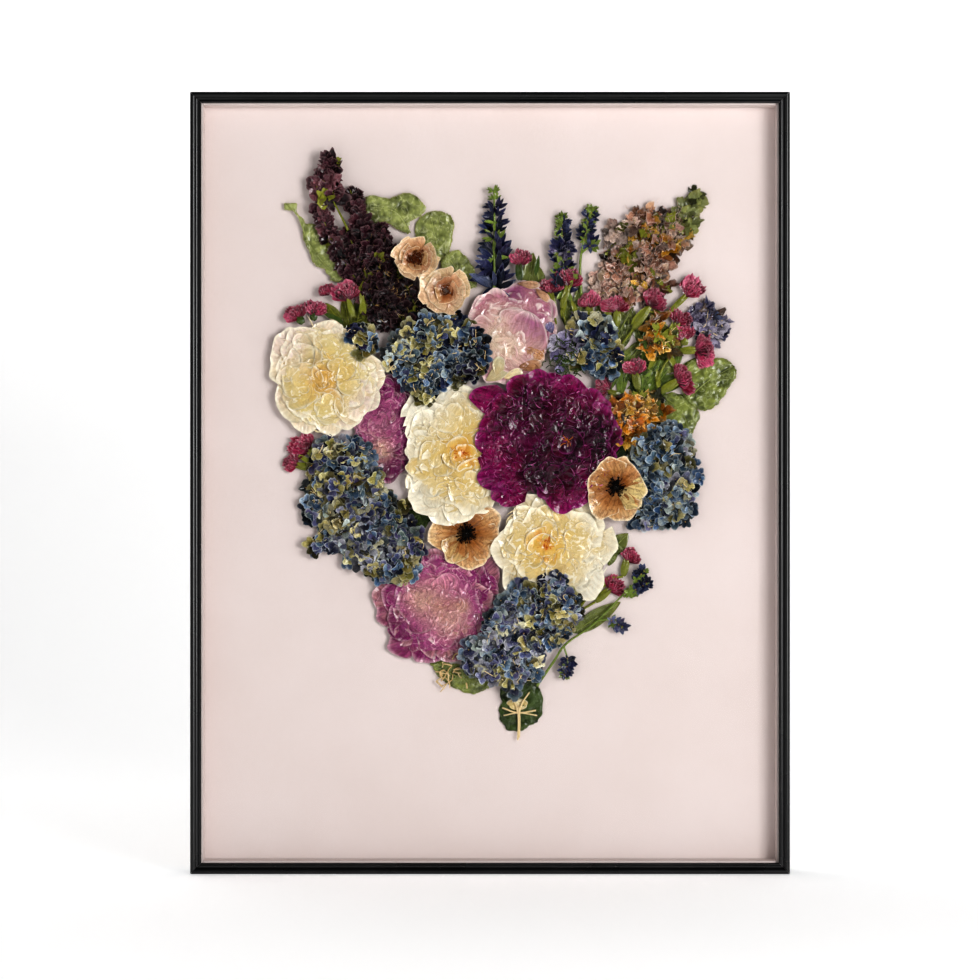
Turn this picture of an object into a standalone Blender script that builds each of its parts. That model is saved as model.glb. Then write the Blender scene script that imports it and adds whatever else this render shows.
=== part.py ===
"""Pressed flower frame: a glazed shadow-box frame with a bouquet of dried flowers.

Metres, +Z up. The frame stands on its bottom edge with its front facing -Y, and its
origin is at the middle of that edge's underside. Every piece is one closed body.
"""

import math

import bmesh
import bpy
from mathutils import Vector

MM = 0.001
GAP = 0.3 * MM  # air between two pieces that touch

# The frame as a whole.
WIDTH = 460 * MM
HEIGHT = 600 * MM
DEPTH = 32 * MM

# The moulding. Distances inward are from the frame's outer edge.
FACE = 8.3 * MM  # from the outer edge to the sight edge
WALL = 4.6 * MM  # thickness of the side wall behind the lip
LIP = 3.8 * MM  # from the front plane to the back of the lip
BAND_END = 4.2 * MM  # where the rounded outer band stops
BEAD_START = 6.3 * MM  # where the small inner bead starts
SCOOP = 1.7 * MM  # depth of the hollow between band and bead
BEAD_TOP = 0.9 * MM  # the bead's crown lies this far behind the front plane
EDGE_STEP = 1.5 * MM  # height of the band's shoulder at the outer edge
BACK_CHAMFER = 0.5 * MM

# The stack inside the rebate, front to back.
PANE_THICKNESS = 2.0 * MM
CAVITY = 14.0 * MM
SPACER_WIDTH = 4.5 * MM
BOARD_THICKNESS = 2.0 * MM
PANEL_THICKNESS = 3.0 * MM

# Hardware on the back.
TAB_LENGTH = 17 * MM
TAB_WIDTH = 9 * MM
TAB_THICKNESS = 0.8 * MM
TAB_LIFT = 1.2 * MM
HANGER_LENGTH = 46 * MM
HANGER_HEIGHT = 9 * MM
HANGER_THICKNESS = 1.0 * MM
HANGER_RISE = 2.6 * MM
HANGER_TEETH = 7
HANGER_PITCH = 3.0 * MM
HANGER_SPREAD = 120 * MM  # each hanger's middle from the frame's centre line
HANGER_Z = 545 * MM

# The pressed specimens lie in layers, each one a slab in front of the last.
LAYER_PITCH = 2.2 * MM
SPECIMEN_THICKNESS = 1.8 * MM
STEPS = 2  # straight stretches between two points of a curved outline

FRONT_Y = -DEPTH / 2
BACK_Y = DEPTH / 2
PANE_Y = FRONT_Y + LIP + GAP
SPACER_Y = PANE_Y + PANE_THICKNESS + GAP
BOARD_Y = SPACER_Y + CAVITY + GAP
PANEL_Y = BOARD_Y + BOARD_THICKNESS + GAP
HARDWARE_Y = PANEL_Y + PANEL_THICKNESS + GAP
INSET = WALL + GAP  # how far the stack's edges lie inside the outer edge

FINISHES = {
    # name: (colour, roughness, metallic)
    "lacquer_black": ((0.012, 0.012, 0.013), 0.30, 0.0),
    "glass_clear": ((0.95, 0.97, 0.96), 0.05, 0.0),
    "card_pink": ((0.78, 0.66, 0.63), 0.85, 0.0),
    "hardboard": ((0.27, 0.15, 0.08), 0.80, 0.0),
    "zinc_steel": ((0.55, 0.56, 0.58), 0.40, 1.0),
    "petal_cream": ((0.86, 0.75, 0.48), 0.60, 0.0),
    "petal_burgundy": ((0.12, 0.01, 0.07), 0.40, 0.0),
    "petal_mauve": ((0.42, 0.13, 0.27), 0.55, 0.0),
    "petal_pink": ((0.75, 0.50, 0.52), 0.55, 0.0),
    "petal_tan": ((0.62, 0.38, 0.20), 0.60, 0.0),
    "petal_slate": ((0.10, 0.17, 0.26), 0.60, 0.0),
    "petal_plum": ((0.05, 0.015, 0.03), 0.60, 0.0),
    "petal_navy": ((0.03, 0.04, 0.10), 0.55, 0.0),
    "petal_lilac": ((0.22, 0.15, 0.30), 0.60, 0.0),
    "petal_beige": ((0.42, 0.26, 0.20), 0.65, 0.0),
    "petal_crimson": ((0.36, 0.03, 0.10), 0.55, 0.0),
    "petal_orange": ((0.80, 0.32, 0.03), 0.60, 0.0),
    "leaf_green": ((0.16, 0.25, 0.07), 0.60, 0.0),
    "leaf_dark": ((0.04, 0.08, 0.02), 0.60, 0.0),
}


def clear_scene():
    """Removes whatever the file opened with."""
    for old in list(bpy.data.objects):
        bpy.data.objects.remove(old, do_unlink=True)


def finish(name):
    """The Principled material of that name."""
    found = bpy.data.materials.get(name)
    if found:
        return found
    colour, roughness, metallic = FINISHES[name]
    material = bpy.data.materials.new(name)
    material.use_nodes = True
    shader = material.node_tree.nodes["Principled BSDF"]
    shader.inputs["Base Color"].default_value = (*colour, 1.0)
    shader.inputs["Roughness"].default_value = roughness
    shader.inputs["Metallic"].default_value = metallic
    return material


def prism(name, lower, upper, finish_name):
    """A closed solid between two outlines that have the same number of points."""
    mesh = bpy.data.meshes.new(name)
    shape = bmesh.new()
    first = [shape.verts.new(p) for p in lower]
    second = [shape.verts.new(p) for p in upper]
    count = len(first)
    shape.faces.new(list(reversed(first)))
    shape.faces.new(second)
    for i in range(count):
        j = (i + 1) % count
        shape.faces.new((first[i], first[j], second[j], second[i]))
    bmesh.ops.recalc_face_normals(shape, faces=shape.faces)
    shape.to_mesh(mesh)
    shape.free()
    mesh.materials.append(finish(finish_name))
    made = bpy.data.objects.new(name, mesh)
    bpy.context.scene.collection.objects.link(made)
    return made


def arc(start, end, rise, steps):
    """Points from start to end on a bow that stands rise off the chord."""
    chord = Vector(end) - Vector(start)
    across = Vector((chord.y, -chord.x)).normalized()
    points = []
    for i in range(steps + 1):
        t = i / steps
        bow = math.sin(math.pi * t) * rise
        spot = Vector(start) + chord * t + across * bow
        points.append((spot.x, spot.y))
    return points


# ---------------------------------------------------------------- the frame


def moulding_section():
    """The moulding's section as (distance inward, y) points, once round."""
    band = arc((0.0, FRONT_Y + EDGE_STEP), (BAND_END, FRONT_Y + SCOOP * 0.75), 1.1 * MM, 8)
    scoop = arc(band[-1], (BEAD_START, FRONT_Y + SCOOP), -0.35 * MM, 4)
    bead = arc(scoop[-1], (FACE, FRONT_Y + SCOOP + 0.3 * MM), SCOOP - BEAD_TOP, 5)
    lowest = min(y for _, y in band)
    outer = [(d, y - lowest + FRONT_Y) for d, y in band]
    lip_back = FRONT_Y + LIP
    inner = [(FACE, lip_back), (WALL, lip_back), (WALL, BACK_Y - BACK_CHAMFER)]
    back = [(WALL - BACK_CHAMFER, BACK_Y), (BACK_CHAMFER, BACK_Y), (0.0, BACK_Y - BACK_CHAMFER)]
    return outer + scoop[1:] + bead[1:] + inner + back


def add_rails():
    """Four lengths of moulding, mitred at the corners with a hairline between them."""
    section = moulding_section()
    middle = Vector((0.0, 0.0, HEIGHT / 2))
    sides = {
        # name: (direction along the rail, direction inward, half length, half span)
        "rail_bottom": (Vector((1, 0, 0)), Vector((0, 0, 1)), WIDTH / 2, HEIGHT / 2),
        "rail_top": (Vector((-1, 0, 0)), Vector((0, 0, -1)), WIDTH / 2, HEIGHT / 2),
        "rail_left": (Vector((0, 0, -1)), Vector((1, 0, 0)), HEIGHT / 2, WIDTH / 2),
        "rail_right": (Vector((0, 0, 1)), Vector((-1, 0, 0)), HEIGHT / 2, WIDTH / 2),
    }
    for name, (along, inward, half, span) in sides.items():
        ends = []
        for sign in (-1, 1):
            outline = []
            for d, y in section:
                reach = half - d - GAP / 2
                spot = middle + along * sign * reach + inward * (d - span)
                outline.append(Vector((spot.x, y, spot.z)))
            ends.append(outline)
        prism(name, ends[0], ends[1], "lacquer_black")


def slab(name, x_range, y_range, z_range, finish_name):
    """A plate with square edges."""
    (x0, x1), (y0, y1), (z0, z1) = x_range, y_range, z_range
    corners = [(x0, z0), (x1, z0), (x1, z1), (x0, z1)]
    rear = [(x, y1, z) for x, z in corners]
    front = [(x, y0, z) for x, z in corners]
    return prism(name, rear, front, finish_name)


def add_stack():
    """The pane, the board and the back panel, which fill the rebate."""
    across = (-WIDTH / 2 + INSET, WIDTH / 2 - INSET)
    upright = (INSET, HEIGHT - INSET)
    layers = (
        ("glazing", PANE_Y, PANE_THICKNESS, "glass_clear"),
        ("mount_board", BOARD_Y, BOARD_THICKNESS, "card_pink"),
        ("back_panel", PANEL_Y, PANEL_THICKNESS, "hardboard"),
    )
    for name, y, thickness, finish_name in layers:
        slab(name, across, (y, y + thickness), upright, finish_name)


def add_spacers():
    """Card-covered strips round the cavity: long ones at the sides, short between them."""
    deep = (SPACER_Y, SPACER_Y + CAVITY)
    outer = WIDTH / 2 - INSET
    inner = outer - SPACER_WIDTH
    low, high = INSET, HEIGHT - INSET
    slab("spacer_left", (-outer, -inner), deep, (low, high), "card_pink")
    slab("spacer_right", (inner, outer), deep, (low, high), "card_pink")
    between = (-inner + GAP, inner - GAP)
    slab("spacer_bottom", between, deep, (low, low + SPACER_WIDTH), "card_pink")
    slab("spacer_top", between, deep, (high - SPACER_WIDTH, high), "card_pink")


def add_tabs():
    """Flexible steel tabs that reach from the rails over the back panel."""
    places = []
    for z in (0.25 * HEIGHT, 0.75 * HEIGHT):
        places.append((Vector((-WIDTH / 2 + INSET, 0, z)), Vector((1, 0, 0))))
        places.append((Vector((WIDTH / 2 - INSET, 0, z)), Vector((-1, 0, 0))))
    places.append((Vector((0, 0, INSET)), Vector((0, 0, 1))))
    places.append((Vector((0, 0, HEIGHT - INSET)), Vector((0, 0, -1))))
    for number, (root, reach) in enumerate(places, start=1):
        side = Vector((reach.z, 0, reach.x)) * TAB_WIDTH / 2
        # Side view: flat on the panel, then bent up a little at the tip.
        profile = (
            (0.0, TAB_LIFT),
            (0.35 * TAB_LENGTH, 0.0),
            (0.85 * TAB_LENGTH, 0.0),
            (TAB_LENGTH, 0.6 * TAB_LIFT),
        )
        under = [root + reach * d + Vector((0, HARDWARE_Y + lift, 0)) for d, lift in profile]
        over = [p + Vector((0, TAB_THICKNESS, 0)) for p in reversed(under)]
        outline = under + over
        lower = [p - side for p in outline]
        upper = [p + side for p in outline]
        prism(f"tab_{number}", lower, upper, "zinc_steel")


def add_hangers():
    """Sawtooth hangers: raised strips with a toothed lower edge."""
    half = HANGER_LENGTH / 2
    bends = ((-half, 0.0), (-0.72 * half, 0.0), (-0.56 * half, HANGER_RISE))
    bends += tuple((-x, lift) for x, lift in reversed(bends))
    for name, centre in (("hanger_left", -HANGER_SPREAD), ("hanger_right", HANGER_SPREAD)):
        near = [(centre + x, HARDWARE_Y + lift) for x, lift in bends]
        far = [(x, y + HANGER_THICKNESS) for x, y in reversed(near)]
        outline = near + far
        bottom = [(x, y, HANGER_Z) for x, y in outline]
        top = [(x, y, HANGER_Z + HANGER_HEIGHT) for x, y in outline]
        hanger = prism(name, bottom, top, "zinc_steel")
        cutter = comb(f"{name}_comb", centre)
        cut = hanger.modifiers.new("teeth", "BOOLEAN")
        cut.operation = "DIFFERENCE"
        cut.solver = "EXACT"
        cut.object = cutter


def comb(name, centre):
    """The cutter that leaves the hanger's teeth: a row of points under its edge."""
    tooth = 0.7 * HANGER_PITCH
    start = centre - HANGER_TEETH * HANGER_PITCH / 2
    outline = [(start, HANGER_Z - tooth)]
    for i in range(HANGER_TEETH):
        outline.append((start + (i + 0.02) * HANGER_PITCH, HANGER_Z - 0.2 * tooth))
        outline.append((start + (i + 0.5) * HANGER_PITCH, HANGER_Z + tooth))
    end = start + HANGER_TEETH * HANGER_PITCH
    outline.append((end, HANGER_Z - 0.2 * tooth))
    outline.append((end, HANGER_Z - tooth))
    rear = [(x, HARDWARE_Y + 3 * HANGER_RISE, z) for x, z in outline]
    front = [(x, HARDWARE_Y - HANGER_THICKNESS, z) for x, z in outline]
    made = prism(name, rear, front, "zinc_steel")
    made.hide_render = True
    made.display_type = "WIRE"
    return made


# ------------------------------------------------------------ the specimens


def smooth_outline(points):
    """A closed Catmull-Rom curve through points given in millimetres, as (x, z) metres."""
    count = len(points)
    curve = []
    for i in range(count):
        before, start, end, after = (Vector(points[(i + k) % count]) for k in (-1, 0, 1, 2))
        for step in range(STEPS):
            t = step / STEPS
            spot = 0.5 * (
                2 * start
                + (end - before) * t
                + (2 * before - 5 * start + 4 * end - after) * t**2
                + (3 * start - before - 3 * end + after) * t**3
            )
            curve.append((spot.x * MM, spot.y * MM))
    return curve


def pressed(name, layer, finish_name, points):
    """A pressed specimen: its outline from the front, one layer thick."""
    rear_y = BOARD_Y - GAP - layer * LAYER_PITCH
    curve = smooth_outline(points)
    rear = [(x, rear_y, z) for x, z in curve]
    front = [(x, rear_y - SPECIMEN_THICKNESS, z) for x, z in curve]
    return prism(name, rear, front, finish_name)


def add_roses():
    """Garden roses, the peony and the dahlia. Outlines are (x, z) in millimetres."""
    pressed(
        "rose_cream_left", 3, "petal_cream",
        ((-138, 428), (-130, 424), (-122, 424), (-110, 426), (-103, 417), (-93, 403),
         (-84, 393), (-79, 384), (-80, 372), (-90, 360), (-95, 351), (-112, 341),
         (-122, 338), (-135, 336), (-146, 343), (-157, 350), (-166, 361), (-172, 370),
         (-168, 382), (-164, 396), (-161, 411), (-158, 421), (-148, 424)),
    )
    pressed(
        "rose_cream_middle", 3, "petal_cream",
        ((-62, 368), (-50, 372), (-32, 374), (-14, 376), (-4, 371), (3, 360), (9, 343),
         (11, 324), (8, 305), (4, 291), (1, 281), (-6, 276), (-14, 272), (-21, 267),
         (-27, 262.5), (-35, 266), (-45, 273), (-56, 281), (-66, 286), (-73, 290),
         (-70, 299), (-69, 311), (-64, 322), (-63, 334), (-66, 343), (-61, 350),
         (-66, 361)),
    )
    pressed(
        "rose_cream_lower", 3, "petal_cream",
        ((2, 245), (6, 253), (8, 265), (7, 275), (15, 281), (24, 287), (38, 291),
         (56, 288), (70, 284), (84, 276), (94, 265), (93, 250), (95, 238), (92, 229),
         (85, 221), (77, 211), (66, 208), (50, 206), (34, 208), (20, 213), (12, 219),
         (10, 229), (12, 239)),
    )
    pressed(
        "dahlia_burgundy", 4, "petal_burgundy",
        ((-15, 339), (-11, 345), (-6, 350), (-9, 359), (-11, 368), (0, 370.5),
         (12, 377), (27, 382), (38, 388), (49, 390.5), (59, 387), (66, 380), (72, 375),
         (82, 371), (91, 361), (99.5, 346), (97, 327), (95, 312), (91, 298), (83, 288),
         (74, 281), (66, 275.5), (60, 275), (51, 282), (42, 287), (33, 289), (25, 280.5),
         (16, 280.5), (8, 285), (2, 292), (1, 301), (-9, 303), (-13, 312), (-15.5, 321),
         (-10, 327)),
    )
    pressed(
        "rose_mauve_lower", 1, "petal_mauve",
        ((-89, 219), (-86, 208), (-87, 196), (-81, 182), (-71, 171), (-60, 164),
         (-48, 160), (-32, 161.5), (-18, 165), (-8, 172), (-2, 184), (2, 196), (5, 206),
         (9, 215), (10.5, 224), (6, 234), (0, 241), (-14, 247), (-30, 250), (-50, 250),
         (-64, 243), (-78, 232)),
    )
    pressed(
        "rose_mauve_hidden", 1, "petal_mauve",
        ((-72, 383), (-60, 370), (-55, 350), (-58, 328), (-66, 308), (-74, 298),
         (-84, 300), (-92, 312), (-100, 326), (-108, 338), (-104, 352), (-96, 366),
         (-85, 378)),
    )
    pressed(
        "peony_pink", 3, "petal_pink",
        ((-17, 431), (-15, 440), (-10, 446), (0, 447.5), (13, 451), (22, 455), (34, 454),
         (43, 446), (51, 435), (53, 420), (49, 409), (46, 398), (40, 389), (28, 384),
         (12, 380), (0, 379), (-6, 386), (-8, 400), (-13, 416)),
    )
    pressed(
        "rose_tan_upper", 5, "petal_tan",
        ((-75, 476), (-71, 483), (-60, 488.5), (-51, 490), (-45, 486), (-41.5, 477),
         (-39.5, 470), (-44, 462.5), (-52, 458.5), (-61, 455.5), (-68, 461), (-73, 467)),
    )
    pressed(
        "rose_tan_lower", 5, "petal_tan",
        ((-56, 453.5), (-49, 455), (-42, 459), (-36, 466), (-29, 465), (-19.5, 461),
         (-17, 449), (-19, 440), (-29, 432.5), (-39, 430), (-46.5, 436), (-49, 446)),
    )


def add_poppies():
    """Flat tan poppies."""
    pressed(
        "poppy_right", 5, "petal_tan",
        ((84, 315), (95, 320.5), (106, 318), (114.5, 313), (115, 303), (115, 295),
         (119, 289), (121, 277.5), (114, 275), (106.5, 273), (96.5, 264), (88, 269),
         (79, 277), (74.5, 284), (72.5, 294), (76.5, 302), (78, 308)),
    )
    pressed(
        "poppy_left", 2, "petal_tan",
        ((-49, 254), (-48, 263), (-43, 273), (-30, 276), (-12, 278), (2, 279), (8, 270),
         (8, 260), (5.5, 249), (0.5, 241), (-8, 236), (-18, 233), (-26, 237),
         (-33, 241), (-39, 248)),
    )


def add_hydrangeas():
    """Heads and sprigs of blue hydrangea."""
    pressed(
        "hydrangea_centre", 4, "petal_slate",
        ((-62, 426), (-46, 432.5), (-35, 429), (-24, 433), (-19, 427), (-10, 420),
         (-4, 411), (-1, 401), (-2, 390), (-7, 380), (-19, 376), (-33, 375), (-40, 365),
         (-46, 360), (-54, 363), (-65, 370), (-72, 379), (-80, 386), (-82, 396),
         (-80, 405), (-72, 418)),
    )
    pressed(
        "hydrangea_sprig", 4, "petal_slate",
        ((-111, 414), (-106, 420), (-96, 425), (-89, 419), (-85, 411), (-86, 402),
         (-92, 397), (-100, 398), (-105, 406)),
    )
    pressed(
        "hydrangea_left", 2, "petal_slate",
        ((-143, 316), (-137, 326), (-131, 334), (-121, 335), (-110, 337), (-100, 334),
         (-92, 330), (-88, 322), (-84, 311), (-83, 301), (-74, 290), (-62, 283),
         (-61, 273), (-54, 264), (-50, 256), (-52, 240), (-56, 226), (-70, 221),
         (-87, 222), (-98, 231), (-106, 235), (-114, 237), (-116, 244), (-124, 247),
         (-134, 245), (-144, 251), (-140, 258), (-132, 263), (-140, 270), (-147, 281),
         (-142, 288), (-144, 298), (-141, 307)),
    )
    pressed(
        "hydrangea_right", 2, "petal_slate",
        ((110, 331), (119, 339), (129, 346), (140, 346), (150, 339), (157, 330),
         (161, 320), (160, 311), (165, 304), (163, 295), (158, 288), (160, 281),
         (155, 272), (145, 264.5), (127, 266), (114, 264.5), (108, 270), (110, 283),
         (109, 300), (108, 316)),
    )
    pressed(
        "hydrangea_lower", 4, "petal_slate",
        ((23, 227), (33, 225), (43, 228), (51, 231.5), (58, 226), (65, 217), (70, 208),
         (71, 199), (66, 188), (58, 177), (48, 174), (42, 168), (43, 157), (37, 148),
         (28, 146), (20, 136), (13, 138), (8, 145), (-2, 147), (-12, 151), (-20, 157),
         (-22, 166), (-20, 177), (-10, 181), (-5, 190), (-3, 198), (4, 208), (9, 214),
         (15, 221)),
    )
    pressed(
        "hydrangea_upper_right", 3, "petal_slate",
        ((58, 419), (62, 425), (68, 431), (77, 431), (86, 430), (93, 427), (98, 420),
         (97, 413), (102, 407), (105, 398), (102, 388), (98, 382), (88, 382), (80, 385),
         (74, 389), (66, 389), (60, 394), (59, 406)),
    )


def add_spikes():
    """The tall flower spikes and the branching twig."""
    pressed(
        "stock_spike", 2, "petal_plum",
        ((-119, 523), (-117, 529), (-108, 531), (-100, 527), (-95.5, 519), (-96, 510),
         (-89, 502), (-81, 497), (-73, 493), (-75, 486), (-70, 476), (-64, 462),
         (-57, 453), (-51, 444), (-56, 432), (-70, 424), (-85, 423), (-94, 435),
         (-101, 446), (-108, 458), (-115, 469), (-122, 481), (-129, 494), (-137, 503),
         (-134, 510), (-137, 515), (-131, 518), (-124, 516), (-119, 511)),
    )
    pressed(
        "stock_bud", 3, "petal_plum",
        ((-126, 553), (-118, 549), (-115.5, 544), (-120, 537), (-122, 530), (-121, 524),
         (-115, 510), (-110, 502), (-113, 502), (-118, 511), (-125, 521), (-132, 520.5),
         (-140, 524), (-141, 534), (-134, 541), (-130, 550)),
    )
    pressed(
        "delphinium_navy", 2, "petal_navy",
        ((3, 532), (8, 528), (11, 521), (17, 516), (15, 511), (22, 508), (16, 501),
         (18, 490), (18, 479), (15, 472), (16, 464), (9, 460), (6, 453), (3, 449),
         (-5, 449), (-10, 455), (-10, 463), (-14, 472), (-14, 485), (-9, 494),
         (-13, 505), (-8, 516), (-4, 522), (-3, 530)),
    )
    pressed(
        "veronica_lilac", 1, "petal_lilac",
        ((44, 502), (49, 511), (56, 514), (64, 511), (69, 518), (77, 523), (86, 521),
         (91, 512), (84, 506), (79, 500), (78, 495), (85, 493), (87, 484), (79, 480),
         (75, 470), (71, 457), (69, 446), (64, 446), (63, 455), (55, 459), (47, 464),
         (44, 475), (46, 484), (44, 492)),
    )
    pressed(
        "plume_rose", 0, "petal_beige",
        ((74, 458), (84, 461), (84, 470), (92, 477), (91, 487), (87, 497), (100, 501),
         (108, 507), (120, 511), (134, 510), (140, 505), (145, 513), (151, 516),
         (156, 523), (163, 528), (165, 524), (161, 516), (159, 503), (154, 495),
         (155, 488), (150, 481), (142, 475), (138, 464), (138, 451), (131, 443),
         (115, 440), (95, 440), (76, 444)),
    )
    pressed(
        "twig_lower", 2, "leaf_green",
        ((33, 144), (42, 155), (47, 165), (51, 173), (58, 180), (69, 188), (79, 195),
         (87, 203), (95, 211), (102, 218), (104, 228), (112, 234), (120, 242), (128, 239),
         (131.5, 226), (125, 215), (117, 216), (110, 216), (103, 210), (110, 202),
         (114, 190), (109, 180), (100, 182), (94, 191), (88, 197), (80, 190), (70, 182),
         (63, 174), (66, 163), (62, 149), (54, 145), (49, 151), (47, 155), (38, 143)),
    )


def add_carnations():
    """Crimson spray carnations with their calyxes, and the stems that join a spray."""
    pressed(
        "carnation_left_upper", 3, "petal_crimson",
        ((-129, 447), (-122, 455), (-115, 458.5), (-108, 459), (-104, 452), (-99, 446),
         (-95, 438), (-94, 431), (-104, 429.5), (-113, 430.5), (-118, 438), (-122, 444)),
    )
    pressed(
        "carnation_left_middle", 2, "petal_crimson",
        ((-157, 426), (-155, 432), (-149, 438), (-141, 441), (-134, 442.5), (-130, 437),
         (-121, 431), (-114, 428), (-120, 424), (-135, 423), (-150, 424)),
    )
    pressed(
        "carnation_left_lower", 1, "petal_crimson",
        ((-162, 309), (-161, 315), (-156, 322), (-153, 331), (-148, 339), (-141, 342),
         (-134, 336), (-131, 325), (-135, 312), (-146, 308.5), (-155, 311)),
    )
    pressed(
        "carnation_middle", 3, "petal_crimson",
        ((16, 489), (24, 487.5), (32, 484), (38, 477), (41, 467), (42, 459), (34, 458),
         (25, 459), (18, 460), (11, 467), (14, 474), (18, 481)),
    )
    pressed(
        "carnation_spray_upper", 2, "petal_crimson",
        ((43, 455), (51, 460), (61, 463), (64, 456), (69, 448), (83, 447.5), (91, 447),
         (100, 448), (107, 443.5), (116, 446), (122, 449), (130, 445), (137, 443),
         (145, 450), (153, 460), (158, 456), (163, 442), (156, 442.5), (146, 443.5),
         (137, 437), (127, 433), (116, 424), (108, 416), (100, 404), (94, 404),
         (92, 416), (84, 424), (72, 424), (62, 421), (56, 428), (49, 434), (46, 445)),
    )
    pressed(
        "carnation_spray_right", 2, "petal_crimson",
        ((142, 432), (146, 434), (154, 421), (149, 414), (158, 412.5), (170, 409),
         (178, 398), (168, 394), (158, 398), (151, 394), (156, 378), (153, 370),
         (142, 373), (130, 368), (118, 372), (104, 370), (88, 373), (88, 381), (98, 384),
         (106, 395), (114, 402), (124, 408), (133, 418)),
    )
    pressed(
        "carnation_spray_foot", 1, "petal_crimson",
        ((86, 240), (95, 242), (100, 247), (104, 252), (110, 248), (115, 237),
         (105, 235), (96, 230), (97, 225), (102, 217.5), (95, 211.5), (84, 208),
         (70, 204), (67, 211), (77, 218), (84, 229)),
    )
    pressed(
        "blossom_orange_upper", 3, "petal_orange",
        ((124, 428), (134, 428), (141, 422), (147, 418), (146, 410), (142, 401),
         (135, 396), (124, 395), (112, 402), (116, 411), (120, 419)),
    )
    pressed(
        "blossom_orange_lower", 3, "petal_orange",
        ((93, 362), (97, 368), (104, 370), (113, 369), (122, 371), (130, 366),
         (136, 359), (132, 350), (124, 344), (118, 337), (111, 330), (103, 327.5),
         (99, 335), (98, 345), (95, 353)),
    )
    pressed(
        "scabiosa_lilac", 1, "petal_lilac",
        ((155, 432), (162, 440), (169, 438), (176, 432), (183.5, 424), (181, 415),
         (173, 410), (168, 405), (161, 411), (158, 421)),
    )


def add_leaves():
    """Green leaves behind and beside the flowers."""
    pressed(
        "leaf_sprig_left", 1, "leaf_green",
        ((-160.5, 510), (-160, 516), (-154, 517.5), (-147, 517.5), (-149, 512),
         (-145, 506), (-140, 501), (-133, 499.5), (-129, 492), (-124, 483), (-118, 474),
         (-112, 464), (-110, 456), (-121, 453.5), (-126, 459), (-128, 465), (-135, 467),
         (-142, 480), (-145.5, 490), (-147.5, 499), (-149, 506), (-153, 509)),
    )
    pressed(
        "leaf_upper_left", 1, "leaf_green",
        ((-97, 521), (-88, 525), (-78, 520.5), (-71, 524), (-61, 525), (-54, 520.5),
         (-49, 514), (-52, 507), (-60, 503), (-61, 496), (-65, 491.5), (-74, 496),
         (-80, 499), (-89, 499), (-96, 508)),
    )
    pressed(
        "leaf_upper_middle", 0, "leaf_green",
        ((-60, 500), (-53, 507), (-47, 511), (-36, 510.5), (-28, 506), (-26, 498),
         (-28, 487), (-31, 478), (-38, 472), (-46, 470), (-54, 478), (-59, 488)),
    )
    pressed(
        "leaf_upper_right", 1, "leaf_green",
        ((-40, 470), (-32, 478), (-23, 481), (-17, 475), (-11, 466), (-9, 456),
         (-12, 450), (-20, 450), (-30, 456), (-38, 462)),
    )
    pressed(
        "leaf_right_upper", 1, "leaf_green",
        ((156, 396), (168, 398), (182, 397), (190, 389), (191.5, 382), (186, 374),
         (181, 364), (172, 355), (161, 356), (150, 366), (146, 378), (150, 390)),
    )
    pressed(
        "leaf_right_lower", 0, "leaf_green",
        ((130, 367), (140, 371), (150, 370), (160, 362), (164, 353), (160, 343),
         (155, 333), (148, 337), (140, 343), (133, 352)),
    )
    pressed(
        "leaf_foot", 0, "leaf_dark",
        ((6, 141), (14, 148), (28, 150), (39, 145), (41.5, 131), (39, 115), (32, 113),
         (25, 108), (14, 108), (8, 113), (4.5, 124), (8, 132)),
    )
    pressed(
        "leaf_foot_left", 0, "leaf_dark",
        ((-48, 160), (-44, 154), (-37, 146), (-28, 141), (-18, 136), (-8, 137), (1, 141),
         (3, 147), (-4, 153), (-16, 158), (-30, 163), (-42, 163)),
    )


clear_scene()
add_rails()
add_stack()
add_spacers()
add_tabs()
add_hangers()
add_roses()
add_poppies()
add_hydrangeas()
add_spikes()
add_carnations()
add_leaves()
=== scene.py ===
"""Looks of the pressed flower frame: its finishes, its flowers and the studio round it.

The mouldings, pane, spacers, board, back and hardware keep their CAD shape and get their
real finish. Every pressed specimen replaces its plain CAD slab with petals, leaves,
calyxes and stems, built here in millimetres from the slab's own outline.
"""
import logging
import math
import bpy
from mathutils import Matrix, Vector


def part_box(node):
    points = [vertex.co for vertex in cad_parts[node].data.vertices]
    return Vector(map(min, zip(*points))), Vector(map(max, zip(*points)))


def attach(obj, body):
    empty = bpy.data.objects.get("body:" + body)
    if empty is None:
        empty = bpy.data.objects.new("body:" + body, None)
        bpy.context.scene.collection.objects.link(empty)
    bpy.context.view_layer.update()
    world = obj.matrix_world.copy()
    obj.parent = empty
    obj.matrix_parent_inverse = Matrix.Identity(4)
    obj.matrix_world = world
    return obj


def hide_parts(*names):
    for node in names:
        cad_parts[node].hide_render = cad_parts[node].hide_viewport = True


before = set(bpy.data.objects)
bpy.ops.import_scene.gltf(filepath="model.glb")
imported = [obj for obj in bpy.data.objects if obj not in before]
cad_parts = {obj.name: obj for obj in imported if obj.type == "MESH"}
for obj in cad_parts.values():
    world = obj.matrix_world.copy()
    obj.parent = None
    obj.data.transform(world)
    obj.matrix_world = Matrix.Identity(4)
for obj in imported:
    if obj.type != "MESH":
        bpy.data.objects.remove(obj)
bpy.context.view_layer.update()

import zlib
from collections.abc import Callable
from dataclasses import dataclass, replace
from enum import Enum
from functools import partial

import bpy
import numpy as np
from mathutils import Vector

MM = 0.001
BODY = "root"
PANE_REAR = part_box("glazing")[1].y / MM
PANE_AIR = 0.4  # mm left free behind the pane
BOARD_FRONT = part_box("mount_board")[0].y / MM
BACK_GAP = 0.05  # mm between a pressed piece and what it lies on
LEAST_RISE = 0.02  # mm that no point sinks below
LEAST_SHADE = 0.05
TINY = 1e-9  # keeps divisions from zero
ROW_STEP = 0.866  # between rows of even triangles, whose sides are one

log = logging.getLogger("pressed_flowers")

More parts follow.
